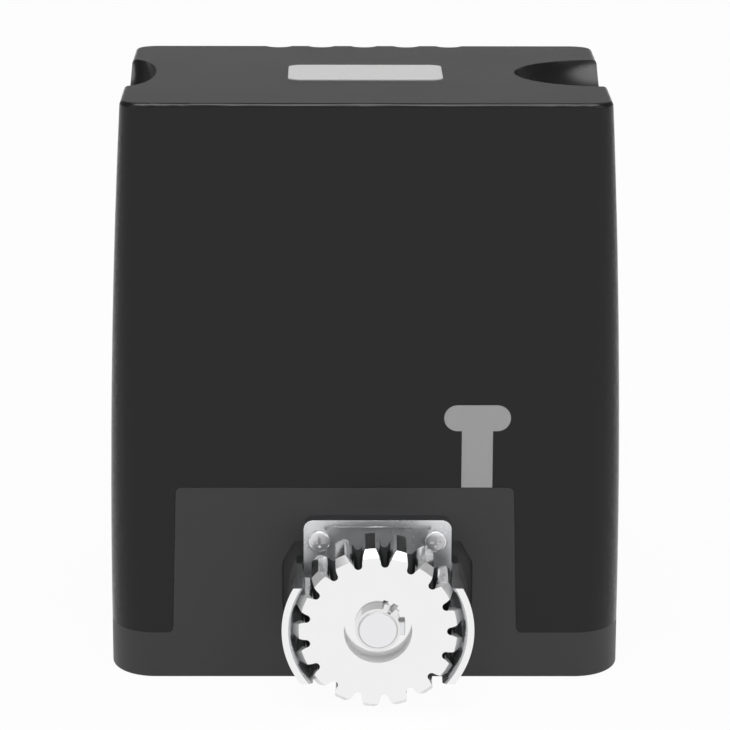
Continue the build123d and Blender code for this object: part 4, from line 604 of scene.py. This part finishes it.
# ---- Run capacitor, its holder ----
# Moulded white polypropylene can with two tinned tabs, in a black holder on the floor.
can_white = moulded("white_moulded_polypropylene", "#dcdcd6", 0.4, 0.7, 0.02, 0.4)
TAB_H = 4 * MM
tabs_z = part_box("run_capacitor")[1].z - TAB_H
skin("run_capacitor", can_white, zones=[(tinned, lambda p: p.z > tabs_z + NEAR)])
skin("capacitor_clamp", tray_abs, 0.3)

# ---- Transformer ----
# A stack of punched E and I sheets with a coil wound in yellow polyester tape, on a bent
# steel foot. The sheets are drawn 1.2 mm thick.
standing_sheets = stacked("punched_transformer_sheets", "#77797c", "#333436", SHEET_MM, "Y")
skin("transformer_core", standing_sheets, 0.2)
TAPE_MM = 9.0
coil_tape = moulded("yellow_polyester_tape", "#c9a227", 0.35, 1.0, 0.01, 0.5)
where = node(coil_tape, "ShaderNodeTexCoord").outputs["Object"]
laps = node(coil_tape, "ShaderNodeTexWave", {"bands_direction": "Z",
                                             "Scale": pi / (10 * TAPE_MM * MM)}, Vector=where)
tone = node(coil_tape, "ShaderNodeValToRGB", Fac=laps.outputs["Fac"])
tone.color_ramp.elements[0].color = linear("#a8841c")
tone.color_ramp.elements[1].color = linear("#cfa92d")
tone.color_ramp.elements[1].position = 0.25
feed(coil_tape, tone.outputs["Color"], "Base Color")
skin("transformer_winding", coil_tape, 0.2)
skin("transformer_bracket", screw_steel, 0.3)

# ---- Gear guard and its screws ----
# Steel plate with two lipped wings beside the pinion, brushed upright and left grey, which
# draws mirrored forms out in streaks. The lips are ground and plated bright.


def brushed(name, colour, rough, line_mm, stretch, depth_mm, level=1.0):
    """A metal with straight lines that run along the smallest number of stretch. They are
    coarser than the real scratches so that they show."""
    material = metal(name, colour, rough, level=level)
    where = node(material, "ShaderNodeTexCoord").outputs["Object"]
    drawn = node(material, "ShaderNodeMapping", {"Scale": stretch}, Vector=where)
    lines = node(material, "ShaderNodeTexNoise", {"Scale": 1 / (line_mm * MM), "Detail": 2.0},
                 Vector=drawn.outputs["Vector"])
    bump = node(material, "ShaderNodeBump", {"Strength": 0.3, "Distance": depth_mm * MM},
                Height=lines.outputs["Fac"])
    feed(material, bump.outputs["Normal"], "Normal")
    return material


UPRIGHT, ALONG_TEETH = (1.0, 1.0, 0.03), (1.0, 0.03, 1.0)
bright_zinc = metal("bright_zinc_plate", "#f0f0f0", 0.1)
guard_steel = brushed("brushed_steel", "#e8e9eb", 0.28, 0.8, UPRIGHT, 0.05, level=0.72)
polished_steel = metal("polished_steel", "#c8c9cb", 0.12)
wing_steel = brushed("streaked_steel", "#bcbdbf", 0.15, 1.2, UPRIGHT, 0.08, level=0.8)
SCREW_HEAD_H = 2 * MM
GUARD_PLATE_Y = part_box("guard_screws")[0].y + SCREW_HEAD_H
DISH_DEEP, PLATE_HALF_W = 1.9 * MM, 33 * MM   # the sunk middle, and the plate beside it
WING_AHEAD, WING_R = 1 * MM, 38 * MM          # the wings start past these
skin("gear_guard", polished_steel, 0.3, zones=[
    (guard_steel, lambda p: -NEAR < p.y - GUARD_PLATE_Y < DISH_DEEP and
     abs(p.x - AXIS[0]) < PLATE_HALF_W),
    (wing_steel, lambda p: p.y < GUARD_PLATE_Y - WING_AHEAD and from_axis(p) > WING_R),
    (bright_zinc, lambda p: p.y < FRONT_Y + NEAR)])
zinc_screws = metal("bright_zinc_plated_screws", "#f0f0f2", 0.2, level=0.7)
skin("guard_screws", zinc_screws, 0.2)

# ---- Drive pinion ----
# Steel, hobbed and case hardened. The tips of its teeth carry a painted dark reflection of the
# dark housing, and the space between the teeth is painted dark as shade. Its flanks are ground,
# with fine lines along the teeth; the faced front is zinc plated, bright on the flat and satin
# on the chamfers.
# The tips past TIP_R carry a painted dark reflection, and the gaps between ROOT_R and GAP_R
# painted shade, both in the near-black steel below.
TIP_R, GAP_R, ROOT_R = 40.3 * MM, 34 * MM, 26 * MM   # black past the first, and between the rest
CHAMFER_D = 4 * MM
FACET = 0.3 * MM                      # a round wall's facets lie this near its radius
ground_flank = brushed("ground_gear_steel", "#e4e4e4", 0.14, 0.9, ALONG_TEETH, 0.02)
painted_tip_reflection_and_gap_shade = metal("steel_painted_with_dark_reflection_and_shade", "#2e2f31", 0.4)
satin_zinc = metal("satin_zinc_plate", "#e6e6e6", 0.3, level=0.5)
# Zones: a painted dark reflection on the tips and painted shade between the teeth, then the
# zinc-plated chamfers, face and hub recess.
skin("drive_pinion", ground_flank, 0.2, zones=[
    (painted_tip_reflection_and_gap_shade, lambda p: from_axis(p) > TIP_R or ROOT_R < from_axis(p) < GAP_R),
    (satin_zinc, lambda p: p.y < FRONT_Y + CHAMFER_D + NEAR),
    (bright_zinc, lambda p: p.y < FRONT_Y + NEAR or
     from_axis(p) < HUB_R and abs(p.y - FRONT_Y - HUB_D) < NEAR),
    (dull_zinc, lambda p: abs(from_axis(p) - HUB_R) < FACET and
     p.y < FRONT_Y + HUB_D - NEAR)])

# ---- Key, collar and circlip at the shaft end ----
# The key and the collar are ground steel, zinc plated, dull on the key's top and bright round
# the collar. The circlip is stamped spring steel, bright.
key_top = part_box("shaft_key")[1].z
COLLAR_SIDE_R = 9.8 * MM
skin("shaft_key", plain_steel, 0.2, zones=[(dull_zinc, lambda p: p.z > key_top - NEAR)])
skin("clip_spacer", plain_steel, 0.1, zones=[
    (bright_zinc, lambda p: from_axis(p) > COLLAR_SIDE_R)])
clip_steel = metal("stamped_spring_steel", "#e6e6e6", 0.14)
skin("pinion_circlip", clip_steel, 0.12)

# ---- Hood ----
# Tall injection-moulded ABS shell, nearly black, with a fine satin grain. Grip scoops are
# sunk into the sides of its top, and flutes run down its far side.
hood_abs = moulded("grained_moulded_abs", "#212122", 0.24, 0.4, 0.015, 0.2)
skin("cover_shell", hood_abs)

# ---- Sensor window ----
# Plain T-shaped filler of pale grey ABS, pushed into the hood from inside.
window_abs = moulded("pale_moulded_abs", "#a8a8a8", 0.5, 0.5, 0.02, 0.4)
skin("sensor_window", window_abs)

# ---- Hood screws ----
# Countersunk cross-recess screws, zinc plated bright, one on each side.
skin("cover_screws", screw_steel, 0.1)

# ---- Name plate ----
# Thin aluminium sheet, glued into the hood's top and left bare. Satin anodised, so it is
# pale and matt from every side.
plate_metal = metal("satin_anodised_aluminium", "#dddddd", 0.6, 0.5, 0.01, level=0.08)
skin("name_plate", plate_metal, 0.2)
